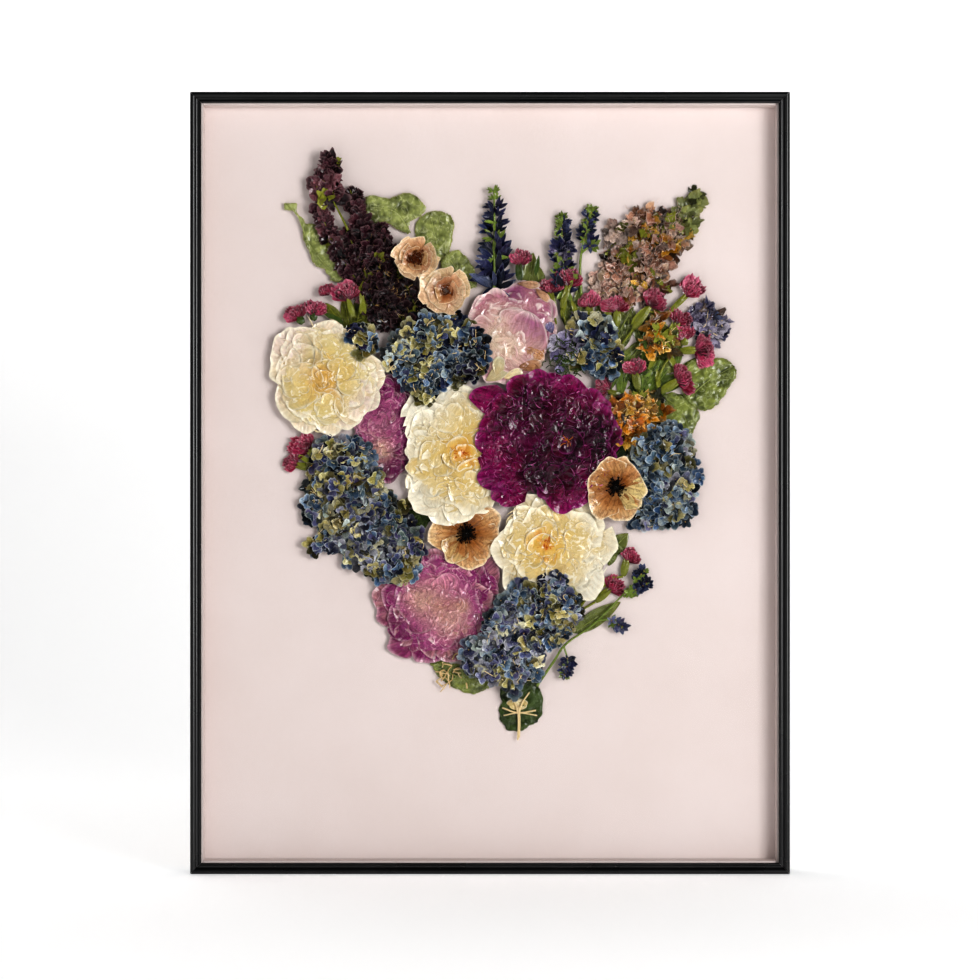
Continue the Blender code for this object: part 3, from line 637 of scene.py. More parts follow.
class Silhouette:
    """The front outline of a CAD specimen, in millimetres, with x right and z up."""

    FLAT = 0.01  # how far a corner of the front may stand behind it
    SHAKE = 0.38  # of the spacing, each way

    def __init__(self, node: str) -> None:
        """Reads the edge of the node's front faces.

        Args:
            node: the CAD node's name.
        """
        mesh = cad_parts[node].data
        points = np.array([tuple(v.co) for v in mesh.vertices]) / MM
        self.front, self.rear = points[:, 1].min(), points[:, 1].max()
        self.loop = self._chain(mesh, points)
        self.low, self.high = self.loop.min(0), self.loop.max(0)

    def _chain(self, mesh: bpy.types.Mesh, points: np.ndarray) -> np.ndarray:
        """The edges that only one front face uses, joined into one loop."""
        used: set[tuple] = set()
        for face in mesh.polygons:
            corners = points[list(face.vertices)]
            if corners[:, 1].max() > self.front + self.FLAT:
                continue
            keys = [(round(x, 3), round(z, 3)) for x, _, z in corners]
            for start, end in zip(keys, keys[1:] + keys[:1]):
                if (end, start) in used:
                    used.remove((end, start))
                else:
                    used.add((start, end))
        follow = dict(used)
        here = next(iter(follow))
        loop = []
        while here in follow:
            loop.append(here)
            here = follow.pop(here)
        return np.array(loop)

    def spot(self, right: float, up: float) -> np.ndarray:
        """The place so many millimetres right of and above the outline's low corner."""
        return self.low + (right, up)

    def holds(self, points: np.ndarray) -> np.ndarray:
        """Says which of the points lie inside."""
        x, z = points[:, 0, None], points[:, 1, None]
        x0, z0 = self.loop.T
        x1, z1 = np.roll(self.loop, -1, 0).T
        crosses = (z0 > z) != (z1 > z)
        rise = np.where(np.abs(z1 - z0) < TINY, TINY, z1 - z0)
        left = x < x0 + (z - z0) * (x1 - x0) / rise
        return (crosses & left).sum(1) % 2 == 1

    def nearest(self, points: np.ndarray) -> tuple[np.ndarray, np.ndarray]:
        """Distance to the outline, and the nearest place on it, for each point."""
        start = self.loop[None]
        run = np.roll(self.loop, -1, 0)[None] - start
        off = points[:, None] - start
        share = np.clip((off * run).sum(2) / np.maximum((run**2).sum(2), TINY), 0, 1)
        foot = start + run * share[..., None]
        gap = np.hypot(*(points[:, None] - foot).transpose(2, 0, 1))
        best = gap.argmin(1)
        row = np.arange(len(points))
        return gap[row, best], foot[row, best]

    def reach(self, heart: np.ndarray, turn: float) -> float:
        """How far the outline lies from the heart in the direction turn, in radians."""
        ray = towards(turn)
        start = self.loop - heart
        run = np.roll(self.loop, -1, 0) - self.loop
        cross = ray[0] * run[:, 1] - ray[1] * run[:, 0]
        cross = np.where(np.abs(cross) < TINY, TINY, cross)
        far = (start[:, 0] * run[:, 1] - start[:, 1] * run[:, 0]) / cross
        share = (start[:, 0] * ray[1] - start[:, 1] * ray[0]) / cross
        hits = far[(share >= 0) & (share <= 1) & (far > 0)]
        return float(hits.max()) if len(hits) else 1.0

    def scatter(self, spacing: float, rng: np.random.Generator, margin: float) -> np.ndarray:
        """Points spread over the outline on a shaken lattice.

        Args:
            spacing: distance between neighbours.
            rng: source of the shaking.
            margin: distance that the points keep from the outline.

        Returns:
            The points, as rows of x and z.
        """
        rows = np.arange(self.low[1], self.high[1], spacing * ROW_STEP)
        points = []
        for k, z in enumerate(rows):
            x = np.arange(self.low[0] + (k % 2) * spacing / 2, self.high[0], spacing)
            points.append(np.stack((x, np.full_like(x, z)), -1))
        points = np.vstack(points)
        points += rng.uniform(-self.SHAKE, self.SHAKE, points.shape) * spacing
        points = points[self.holds(points)]
        gap, _ = self.nearest(points)
        return points[gap > margin]

    def lattice(self, spacing: float, margin: float = 0.0) -> tuple:
        """A net of squares that fills the outline and ends on it.

        Args:
            spacing: the squares' side.
            margin: distance that the net stays inside the outline.

        Returns:
            The points, their distance from the edge, and the squares' corner numbers.
        """
        xs = np.arange(self.low[0] - spacing, self.high[0] + 2 * spacing, spacing)
        zs = np.arange(self.low[1] - spacing, self.high[1] + 2 * spacing, spacing)
        grid = np.stack(np.meshgrid(xs, zs, indexing="ij"), -1)
        points = grid.reshape(-1, 2)
        gap, foot = self.nearest(points)
        inside = self.holds(points)
        depth = np.where(inside, gap, -gap) - margin
        keep = depth > -spacing / 2
        snap = keep & (depth < spacing / 2)
        pull = (foot - points) / np.maximum(gap, 1e-6)[:, None] * np.where(inside, 1, -1)[:, None]
        points = np.where(snap[:, None], points + pull * depth[:, None], points)
        index = np.arange(len(points)).reshape(grid.shape[:2])
        quads = np.stack((index[:-1, :-1], index[1:, :-1], index[1:, 1:], index[:-1, 1:]), -1)
        quads = quads.reshape(-1, 4)
        quads = quads[keep[quads].all(1)]
        used = np.unique(quads)
        number = np.full(len(points), -1)
        number[used] = np.arange(len(used))
        return points[used], np.maximum(depth[used], 0), number[quads]


# -------------------------------------------------------------- petals and posies


class Cut(Enum):
    """How a petal is cut."""

    FAN = "narrow root and broad rounded tip"
    BLADE = "pointed at both ends"
    OVAL = "closed round at the root and the tip"
    FRINGE = "fan with a toothed rim"
    FOLD = "narrow rolled crest"


@dataclass(frozen=True)
class Petal:
    """The shape of a petal. Heights are in millimetres; the rest are shares."""

    cut: Cut = Cut.FAN
    waist: float = 0.3
    rounding: float = 0.35
    cup: float = 0.0
    arch: float = 0.0
    curl: float = 0.0
    ruffle: float = 0.0
    waves: float = 2.5
    crumple: float = 0.3
    grain: float = 2.6
    bend: float = 0.0
    ragged: float = 0.12
    teeth: int = 0
    bite: float = 0.12
    rows: int = 8
    columns: int = 8

    def sheet(self, length: float, width: float, rng: np.random.Generator) -> tuple:
        """Lays the petal out along its own axis.

        Args:
            length: from root to tip.
            width: at the widest.
            rng: source of the petal's own folds.

        Returns:
            Along, across and height for each point, and the lie of each point.
        """
        t, c = np.meshgrid(np.linspace(0, 1, self.rows + 1),
                           np.linspace(-1, 1, self.columns + 1), indexing="ij")
        shift, phase = rng.uniform(0, 90, 2), rng.uniform(0, 2 * math.pi)
        if self.cut in (Cut.BLADE, Cut.FOLD):
            spread = np.maximum(np.sin(math.pi * t**0.85) ** 0.75, 0.05)
            along = t.copy()
        elif self.cut is Cut.OVAL:
            t = np.sin(t * math.pi / 2) ** 0.9
            spread = np.maximum(np.sin(math.pi * t**1.5) ** 0.5, 0.05)
            spread = spread * (1 + self.ragged * CRUMPLE.at(c + shift[1], t * 2.6 + shift[0]))
            along = t.copy()
        else:
            spread = self.waist + (1 - self.waist) * np.sin(t * math.pi / 2) ** 1.1
            along = t * (1 - self.rounding * np.abs(c) ** 2.4 * t)
            along *= 1 + self.ragged * CRUMPLE.at(c * 2.3 + shift[0], t * 0.4 + shift[1]) * t
            spread = spread * (1 + self.ragged * CRUMPLE.at(c + shift[1], t * 2.6 + shift[0]))
        if self.teeth:
            tooth = np.abs((c * self.teeth / 2 + phase) % 1 - 0.5) * 2
            along += self.bite * (tooth - 0.5) * t**4
        u, v = along * length, c * spread * width / 2
        if self.bend:
            angle = self.bend * t
            reach = length / self.bend
            u, v = (reach * np.sin(angle) - v * np.sin(angle),
                    reach * (1 - np.cos(angle)) + v * np.cos(angle))
        bell = np.sin(math.pi * np.clip(t, 0.0, 1.0)) ** 0.7
        height = self.cup * c**2 * t + self.arch * bell + self.curl * t**4
        height = height + self.ruffle * np.sin(self.waves * math.pi * c + phase) * t**2
        if self.cut is Cut.FOLD:
            height = self.arch * (1 - c**2) * bell
            # A fold strip's middle takes the rim colour: painted highlight along its crest
            edge = 1 - 0.8 * np.abs(c)
        else:
            fold = CRUMPLE.folds(along * length / (2.2 * self.grain) + shift[0],
                                 c * width / (2 * self.grain) + shift[1])
            height = height + self.crumple * fold * (0.35 + 0.65 * t)
            edge = np.maximum(t, np.abs(c) ** 1.5 * np.minimum(1, 1.6 * t))
        return u, v, height, np.stack((t, (c + 1) / 2, edge), -1)


@dataclass(frozen=True)
class Patch:
    """A round area where a specimen's colour drifts: place, radius and changes."""

    right: float
    up: float
    size: float
    tone: float = 0.0
    hue: float = 0.0
    shade: float = 0.0


class Posy:
    """Gathers the sheets, tubes and buds of one specimen into one mesh."""

    TAPER = 0.05  # of the radius, at the closed ends of a tube
    POLE = 0.08  # radians left open at the poles of a bud
    LUMP = 0.15  # of the radius, each way

    def __init__(self, back: float, paint: Paint, rng: np.random.Generator) -> None:
        """Starts an empty posy.

        Args:
            back: y of the surface that it lies on; heights count from there.
            paint: gives tone, hue and shade at places x, z.
            rng: source of every random choice.
        """
        self.back, self.paint, self.rng = back, paint, rng
        self.points, self.faces, self.lies, self.spots, self.owners = [], [], [], [], []
        self.finishes: list = []
        self.count = 0

    def add(self, points: np.ndarray, faces: np.ndarray, lie: np.ndarray,
            finish: DriedTissue, spot: Spot = (0, 0, 0)) -> None:
        """Adds points as (x, z, height) rows, faces by number, and their colouring."""
        x, z, height = points.T
        y = self.back - np.maximum(height, LEAST_RISE)
        y = np.clip(y, PANE_REAR + PANE_AIR, BOARD_FRONT - BACK_GAP)
        tone, hue, shade = self.paint(x, z)
        if finish not in self.finishes:
            self.finishes.append(finish)
        self.points.append(np.stack((x, y, z), -1))
        self.faces.append(faces + self.count)
        self.lies.append(lie)
        self.spots.append(np.stack((tone + spot[0], hue + spot[1],
                                    np.maximum(shade + spot[2], LEAST_SHADE)), -1))
        self.owners.append(np.full(len(faces), self.finishes.index(finish)))
        self.count += len(points)

    def net(self, points: np.ndarray, lie: np.ndarray, finish: DriedTissue,
            spot: Spot = (0, 0, 0), around: bool = False) -> None:
        """Adds rows and columns of (x, z, height) points as a sheet or a tube."""
        rows, columns = points.shape[:2]
        index = np.arange(rows * columns).reshape(rows, columns)
        if around:
            index = np.concatenate((index, index[:, :1]), 1)
        faces = np.stack((index[:-1, :-1], index[1:, :-1], index[1:, 1:], index[:-1, 1:]), -1)
        self.add(points.reshape(-1, 3), faces.reshape(-1, 4), lie.reshape(-1, 3), finish, spot)

    def petal(self, cut: Petal, at: Place, turn: float, length: float, width: float,
              height: float, finish: DriedTissue, rise: float = 0.0,
              spot: Spot = (0, 0, 0), lean: Place = (0.0, 0.0)) -> None:
        """Lays one petal.

        Args:
            cut: its shape.
            at: x and z of its root.
            turn: direction from root to tip, in radians from +x.
            length: root to tip.
            width: at the widest.
            height: of the root above the back.
            finish: what it is made of.
            rise: slope up towards the tip.
            spot: change of tone, hue and shade.
            lean: extra slope along x and z.
        """
        u, v, h, lie = cut.sheet(length, width, self.rng)
        x = u * math.cos(turn) - v * math.sin(turn)
        z = u * math.sin(turn) + v * math.cos(turn)
        h = height + h + u * rise + lean[0] * x + lean[1] * z
        self.net(np.stack((at[0] + x, at[1] + z, h), -1), lie, finish, spot)

    def tube(self, path: list | np.ndarray, radius: float | np.ndarray, finish: DriedTissue,
             spot: Spot = (0, 0, 0), sides: int = 6) -> None:
        """Adds a round stem.

        Args:
            path: (x, z, height) points along it.
            radius: one number, or one for each point.
            finish: what it is made of.
            spot: change of tone, hue and shade.
            sides: faces round it.
        """
        path = np.asarray(path, float)
        radius = np.broadcast_to(np.asarray(radius, float), len(path)).copy()
        path = np.vstack((path[:1], path, path[-1:]))
        radius = np.concatenate((radius[:1] * self.TAPER, radius, radius[-1:] * self.TAPER))
        run = np.gradient(path, axis=0)
        run[0], run[-1] = run[1], run[-2]
        run /= np.maximum(np.linalg.norm(run, axis=1, keepdims=True), TINY)
        side = np.cross(run, (0.0, 0.0, 1.0))
        side /= np.maximum(np.linalg.norm(side, axis=1, keepdims=True), TINY)
        up = np.cross(side, run)
        angle = np.linspace(0, 2 * math.pi, sides, endpoint=False)
        ring = (np.cos(angle)[None, :, None] * side[:, None]
                - np.sin(angle)[None, :, None] * up[:, None])
        points = path[:, None] + radius[:, None, None] * ring
        length = np.concatenate(((0,), np.cumsum(np.linalg.norm(np.diff(path, axis=0), axis=1))))
        along = np.broadcast_to(length[:, None], points.shape[:2])
        across = np.broadcast_to(np.sin(angle)[None], points.shape[:2]) * radius.max()
        lie = np.stack((along, across, np.zeros_like(along)), -1)
        self.net(points, lie, finish, spot, around=True)

    def bud(self, at: Place, radius: float, height: float, finish: DriedTissue,
            spot: Spot = (0, 0, 0), tall: float = 0.8, rings: int = 4, sides: int = 7) -> None:
        """Adds a rounded, slightly lumpy bud with its middle at the given height."""
        polar = np.linspace(self.POLE, math.pi - self.POLE, rings + 1)[::-1]
        angle = np.linspace(0, 2 * math.pi, sides, endpoint=False)
        polar, angle = np.meshgrid(polar, angle, indexing="ij")
        lump = 1 + self.LUMP * self.rng.uniform(-1, 1, polar.shape)
        points = np.stack((at[0] + radius * lump * np.sin(polar) * np.cos(angle),
                           at[1] + radius * lump * np.sin(polar) * np.sin(angle),
                           height + radius * tall * np.cos(polar)), -1)
        lie = np.stack((1 - polar / math.pi, angle / 6.3, 0.5 + 0.0 * angle), -1)
        self.net(points[:, ::-1], lie[:, ::-1], finish, spot, around=True)

    def build(self, name: str) -> bpy.types.Object:
        """Makes the object.

        Args:
            name: the object's name.

        Returns:
            One mesh object in metres, with its attributes and finishes.
        """
        mesh = bpy.data.meshes.new(name)
        points, faces = np.vstack(self.points) * MM, np.vstack(self.faces)
        mesh.vertices.add(len(points))
        mesh.vertices.foreach_set("co", points.ravel())
        mesh.loops.add(faces.size)
        mesh.loops.foreach_set("vertex_index", faces.ravel())
        mesh.polygons.add(len(faces))
        mesh.polygons.foreach_set("loop_start", np.arange(0, faces.size, 4))
        for finish in self.finishes:
            mesh.materials.append(finish.dress())
        mesh.polygons.foreach_set("material_index", np.concatenate(self.owners))
        for label, rows in (("lie", self.lies), ("spot", self.spots)):
            mesh.attributes.new(label, "FLOAT_VECTOR", "POINT").data.foreach_set(
                "vector", np.vstack(rows).astype(np.float32).ravel())
        mesh.update(calc_edges=True)
        mesh.shade_smooth()
        made = bpy.data.objects.new(name, mesh)
        bpy.context.scene.collection.objects.link(made)
        return made


def hand_over(piece: bpy.types.Object, slot: str, *nodes: str) -> None:
    """Fixes a piece in the frame's body, hides the CAD nodes that it replaces and logs its
    triangles.
    """
    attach(piece, BODY)
    if nodes:
        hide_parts(*nodes)
    triangles = sum(len(p.vertices) - 2 for p in piece.data.polygons)
    log.info("%s: %d triangles", piece.name, triangles)


# --------------------------------------------------------------------- specimens


@dataclass
class Specimen:
    """One pressed specimen: the CAD slab that it replaces, its finish and its colour.

    Lengths are in millimetres, and places are (right, up) of the outline's low corner. An
    extra is a further piece that lies on the board over the same outline.
    """

    node: str
    slot: str
    finish: DriedTissue
    heart: Place = (0.0, 0.0)
    patches: tuple[Patch, ...] = ()
    relief: float = 2.2
    extra: str = ""
    lift: float = 0.0
    even: float | None = None  # one tone all over

    DIRECTIONS = 16  # in which the mean radius is measured

    def __post_init__(self) -> None:
        """Reads the slab and starts the posy."""
        self.outline = Silhouette(self.node)
        self.rng = np.random.default_rng(zlib.crc32((self.node + self.extra).encode()))
        self.middle = self.outline.spot(*self.heart)
        turns = np.linspace(0, 2 * math.pi, self.DIRECTIONS, endpoint=False)
        self.radius = float(np.mean([self.outline.reach(self.middle, t) for t in turns]))
        back = BOARD_FRONT if self.extra else self.outline.rear
        self.posy = Posy(back - BACK_GAP - self.lift, self.paint, self.rng)

    def base_tone(self, x: np.ndarray, z: np.ndarray) -> np.ndarray:
        """Where on the finish's body colours a place falls: 0 at the heart, 1 outside."""
        if self.even is not None:
            return np.full_like(x, self.even)
        return np.hypot(x - self.middle[0], z - self.middle[1]) / self.radius

    def paint(self, x: np.ndarray, z: np.ndarray) -> tuple[np.ndarray, np.ndarray, np.ndarray]:
        """Tone, hue and shade of the specimen at places x, z."""
        tone = self.base_tone(x, z)
        hue, shade = np.zeros_like(tone), np.ones_like(tone)
        for patch in self.patches:
            px, pz = self.outline.spot(patch.right, patch.up)
            near = np.exp(-((x - px) ** 2 + (z - pz) ** 2) / patch.size**2)
            tone, hue, shade = (tone + patch.tone * near, hue + patch.hue * near,
                                shade + patch.shade * near)
        return tone, hue, shade

    def bed(self, spacing: float = 2.4, margin: float = 1.2, lift: float = 0.3,
            spot: Spot = (0, 0, 0), broad: float = 11.0, fine: float = 3.2) -> None:
        """Lays the crumpled film that closes the gaps between the petals, with painted shade in
        its valleys and painted highlight on its crests.

        Args:
            spacing: side of the net's squares.
            margin: distance that it keeps from the outline.
            lift: height of the folds.
            spot: change of tone, hue and shade.
            broad: distance between the large folds.
            fine: distance between the small ones.
        """
        points, depth, faces = self.outline.lattice(spacing, margin)
        warped = points + 3.5 * CRUMPLE.at(points / 8 + 7, points[:, ::-1] / 8 + 31)
        large = CRUMPLE.folds(*(warped.T / broad + 3))
        small = CRUMPLE.folds(*(warped.T / fine + 19))
        share = np.clip(self.base_tone(*points.T), 0, 1)
        height = (lift * (1.1 + large + 0.45 * small) + self.dome(share)) * np.clip(
            depth / 4 + 0.25, 0, 1)
        # along runs low in the folds' valleys, so they take the root colour as painted shade;
        # edge runs high on the small crests, so they take the rim colour as painted highlight
        lie = np.stack((0.75 * np.clip(1.1 + 0.6 * large + 0.5 * small, 0, 1), 0.2 * small,
                        0.6 + 0.4 * np.clip(2 * small - 0.6, 0, 1)), -1)
        self.posy.add(np.column_stack((points, height)), faces, lie, self.finish, spot)

    def dome(self, share: np.ndarray | float) -> np.ndarray | float:
        """Height of the pile where share is 0 at the heart and 1 at the rim."""
        return 0.0 * share

    def arrange(self) -> None:
        """Lays out the specimen's pieces. Each kind of specimen has its own way."""
        raise NotImplementedError

    def build(self) -> None:
        """Builds the specimen and puts it in place of its slab, unless it is an extra."""
        self.arrange()
        piece = self.posy.build(self.extra or f"{self.node}_pressed")
        hand_over(piece, self.slot, *(() if self.extra else (self.node,)))


@dataclass
class RuffledBloom(Specimen):
    """A full bloom pressed face on: broad petals round it and a crumpled crowd inside.

    Rings, margins and the dome are shares of the outline's reach; the other lengths are
    in millimetres. Knots are the places that the inner petals curl round.
    """

    slot: str = "petal_cream"
    finish: DriedTissue = CREAM
    rings: tuple[float, ...] = (1.0, 0.86, 0.7)
    petal: float = 24.0
    broad: float = 1.3
    crowd: float = 1.35
    inner: float = 15.0
    pitch: float = 9.0
    knots: Places = ()
    folds: int = 190
    fold_length: Range = (5.0, 14.0)
    fold_width: float = 0.9
    fold_lift: float = 0.8
    # fold_spot draws the folds lighter than the petal under them: painted highlight
    fold_spot: Spot = (0.15, 0.0, 0.06)
    fold_finish: DriedPetal | None = None
    bed_folds: tuple[float, float, float] = (9.0, 3.8, 0.7)
    outer: Petal = Petal(ruffle=0.6, crumple=0.4, grain=3.6, cup=0.4, curl=0.6, rounding=0.5,
                         rows=14, columns=14)
    cut: Petal = Petal(Cut.OVAL, ruffle=0.4, waves=2.0, crumple=0.4, grain=3.4, cup=0.9,
                       curl=0.5, ragged=0.3, rows=12, columns=12)
    swirl: float = 0.7
    fold_high: Range = (0.2, 0.7)
    fold_vary: float = 0.1
    outer_spot: Spot = (0.15, 0.1, 0.0)
    bed_margin: float = 0.16
    inner_margin: float = 0.2
    fold_margin: float = 5.0
    dome_high: float = 0.62
    dome_shape: float = 0.8
    stamens: int = 0
    stamen_thick: float = 0.3

    def dome(self, share: np.ndarray | float) -> np.ndarray | float:
        """Height of the pile where share is 0 at the heart and 1 at the rim."""
        return self.relief * self.dome_high * (1 - share) ** self.dome_shape

    def arrange(self) -> None:
        """Lays the rings, the bed, the petals inside and the folded edges on top."""
        broad, fine, lift = self.bed_folds
        for share in self.rings:
            self.lay_ring(share)
        self.bed(1.0, self.bed_margin * self.radius, lift, broad=broad, fine=fine)
        places = self.outline.scatter(self.pitch, self.rng, self.inner_margin * self.radius)
        order = np.argsort(-np.hypot(*(places - self.middle).T))
        for at in places[order]:
            self.lay_inner(at)
        self.scatter_folds()
        self.add_stamens()

    def off_knot(self, at: np.ndarray) -> np.ndarray:
        """The way from the nearest knot, or from the heart, to a place."""
        hearts = np.array([self.middle] + [self.outline.spot(*k) for k in self.knots])
        return at - hearts[np.hypot(*(hearts - at).T).argmin()]

    def share_out(self, at: np.ndarray) -> float:
        """How far out a place is: 0 at the heart, 1 at the rim and beyond."""
        return min(1.0, np.hypot(*(at - self.middle)) / self.radius)

    def lay_ring(self, share: float) -> None:
        """Lays one ring of broad petals whose tips stand at a share of the outline."""
        rng = self.rng
        width = self.petal * self.broad
        count = max(5, round(2 * math.pi * self.radius * share / width * self.crowd))
        for i in range(count):
            phi = 2 * math.pi * (i + rng.uniform(-0.3, 0.3)) / count + 9 * share
            far = self.outline.reach(self.middle, phi) * share * rng.uniform(0.98, 1.05)
            size = min(self.petal, 0.75 * far + 3) * rng.uniform(0.85, 1.15)
            turn = phi + rng.normal(0, 0.25)
            tip = self.middle + far * towards(phi)
            root = tip - size * towards(turn)
            spot = draw_spot(rng, (-0.1, 0.1), (-0.15, 0.25), (-0.14, 0.04), self.outer_spot)
            self.posy.petal(self.outer, root, turn, size, width * rng.uniform(0.75, 1.15),
                            self.dome(share) * rng.uniform(0.7, 1.0) + 0.15, self.finish,
                            rise=rng.uniform(0.0, 0.04), spot=spot)

    def lay_inner(self, at: np.ndarray) -> None:
        """Lays one crumpled petal that leans away from the nearest knot."""
        rng = self.rng
        off = self.off_knot(at)
        turn = math.atan2(off[1], off[0]) + rng.normal(0, 0.5)
        size = self.inner * rng.uniform(0.6, 1.15)
        share = self.share_out(at)
        root = at - 0.6 * size * towards(turn)
        spot = draw_spot(rng, (-0.2, 0.15), (-0.1, 0.15), (-0.16, 0.06))
        self.posy.petal(replace(self.cut, bend=rng.normal(0, self.swirl)), root, turn, size,
                        size * self.broad * rng.uniform(0.5, 1.1),
                        self.dome(share) + rng.uniform(-0.1, 0.5), self.finish,
                        rise=rng.uniform(0.0, 0.08), spot=spot)

    def scatter_folds(self) -> None:
        """Adds folded petal edges, curved round the nearest knot, drawn lighter than the petal
        under them and pale along the crest: painted highlight.
        """
        rng = self.rng
        area = self.radius**2 * math.pi
        places = self.outline.scatter(math.sqrt(area / self.folds), rng, self.fold_margin)
        for at in places:
            off = self.off_knot(at)
            share = self.share_out(at)
            turn = math.atan2(off[1], off[0]) + math.pi / 2 + rng.normal(0, 0.6)
            length = rng.uniform(*self.fold_length)
            bend = min(1.8, length / (np.hypot(*off) + 4)) + rng.normal(0.4, 0.5)
            cut = Petal(Cut.FOLD, arch=self.fold_lift * rng.uniform(0.5, 1.2), bend=bend or 0.1,
                        columns=4)
            spot = (self.fold_spot[0] + rng.normal(0, self.fold_vary),
                    self.fold_spot[1] + rng.uniform(-0.1, 0.15),
                    self.fold_spot[2] + rng.uniform(-0.1, 0.08))
            self.posy.petal(cut, at, turn, length, self.fold_width * rng.uniform(0.6, 1.8),
                            self.dome(share) + rng.uniform(*self.fold_high),
                            self.fold_finish or self.finish, spot=spot)

    def add_stamens(self) -> None:
        """Adds the crumpled threads in the heart."""
        rng = self.rng
        for _ in range(self.stamens):
            phi = rng.uniform(0, 2 * math.pi)
            start = self.middle + rng.normal(0, 1.0, 2)
            end = start + rng.uniform(3, 8) * towards(phi)
            bow = (start + end) / 2 + rng.normal(0, 0.8, 2)
            high = self.relief * 0.9
            path = smooth_path([(*start, high), (*bow, high + 0.3), (*end, high - 0.1)], 3)
            self.posy.tube(path, self.stamen_thick, AMBER, sides=5)


@dataclass(frozen=True)
class FloretKind:
    """One small flower of a head. Lengths are in millimetres, angles in radians."""

    cut: Petal
    petals: int = 4
    length: Range = (3.2, 4.6)
    broad: float = 1.05
    rise: float = 0.22
    nod: float = 0.3
    heart: float = 0.75
    fan: float = 1.7


HYDRANGEA = FloretKind(
    Petal(rounding=0.62, cup=0.7, crumple=0.7, grain=2.2, rows=5, columns=4),
    length=(4.2, 7.4), nod=0.42, heart=0.55)
TUBULAR = FloretKind(
    Petal(Cut.BLADE, cup=0.9, crumple=0.5, grain=1.8, bend=0.5, rows=7, columns=4),
    petals=3, length=(14.0, 22.0), broad=0.32, heart=0, fan=1.0)
STARRY = FloretKind(
    Petal(Cut.BLADE, cup=0.5, crumple=0.5, grain=1.4, rows=6, columns=4),
    length=(8.0, 13.0), broad=0.42, heart=0.5, fan=1.3)
BUDLET = replace(STARRY, length=(4.5, 7.5), broad=0.55)
CUPPED = FloretKind(
    Petal(waist=0.5, cup=1.6, crumple=0.6, grain=2.2, ragged=0.25, rows=6, columns=6),
    length=(6.5, 11.0), broad=0.75, heart=0.0, rise=0.2, nod=0.25)
CRUMPLED = FloretKind(
    Petal(waist=0.5, rounding=0.55, cup=0.8, crumple=0.9, grain=1.7, ruffle=0.6,
          ragged=0.5, rows=5, columns=6),
    length=(5.0, 9.0), broad=0.8, heart=0.0, rise=0.15, nod=0.2)
FRILLED = FloretKind(
    Petal(waist=0.7, rounding=0.3, cup=0.8, crumple=1.1, grain=1.6, ruffle=0.8,
          ragged=0.35, rows=7),
    petals=3, length=(5, 10), broad=0.9, heart=0, nod=0.25)


def lay_floret(posy: Posy, kind: FloretKind, at: Place, height: float, finish: DriedTissue,
               spot: Spot, facing: float | None = None) -> None:
    """Adds one floret to a posy.

    Args:
        posy: what it is added to.
        kind: its shape.
        at: x and z of its middle.
        height: of its middle above the back.
        finish: of its petals.
        spot: change of tone, hue and shade.
        facing: direction that it opens to, for one seen from the side.
    """
    rng = posy.rng
    first = rng.uniform(0, 2 * math.pi)
    lean = rng.normal(0, kind.nod, 2)
    for k in range(kind.petals):
        if facing is None:
            turn = first + 2 * math.pi * k / kind.petals + rng.normal(0, 0.12)
        else:
            turn = facing + (k / max(kind.petals - 1, 1) - 0.5) * kind.fan + rng.normal(0, 0.15)
        length = rng.uniform(*kind.length)
        posy.petal(kind.cut, at, turn, length, length * kind.broad * rng.uniform(0.85, 1.1),
                   height, finish, rise=kind.rise * rng.uniform(0.4, 1.4),
                   spot=draw_spot(rng, (-0.08, 0.08), (-0.1, 0.1), (-0.12, 0.06), spot),
                   lean=lean)
    if kind.heart:
        posy.bud(at, kind.heart * rng.uniform(0.8, 1.2), height + 0.3, YOLK,
                 spot=(rng.uniform(-0.2, 0.3), 0, 0))


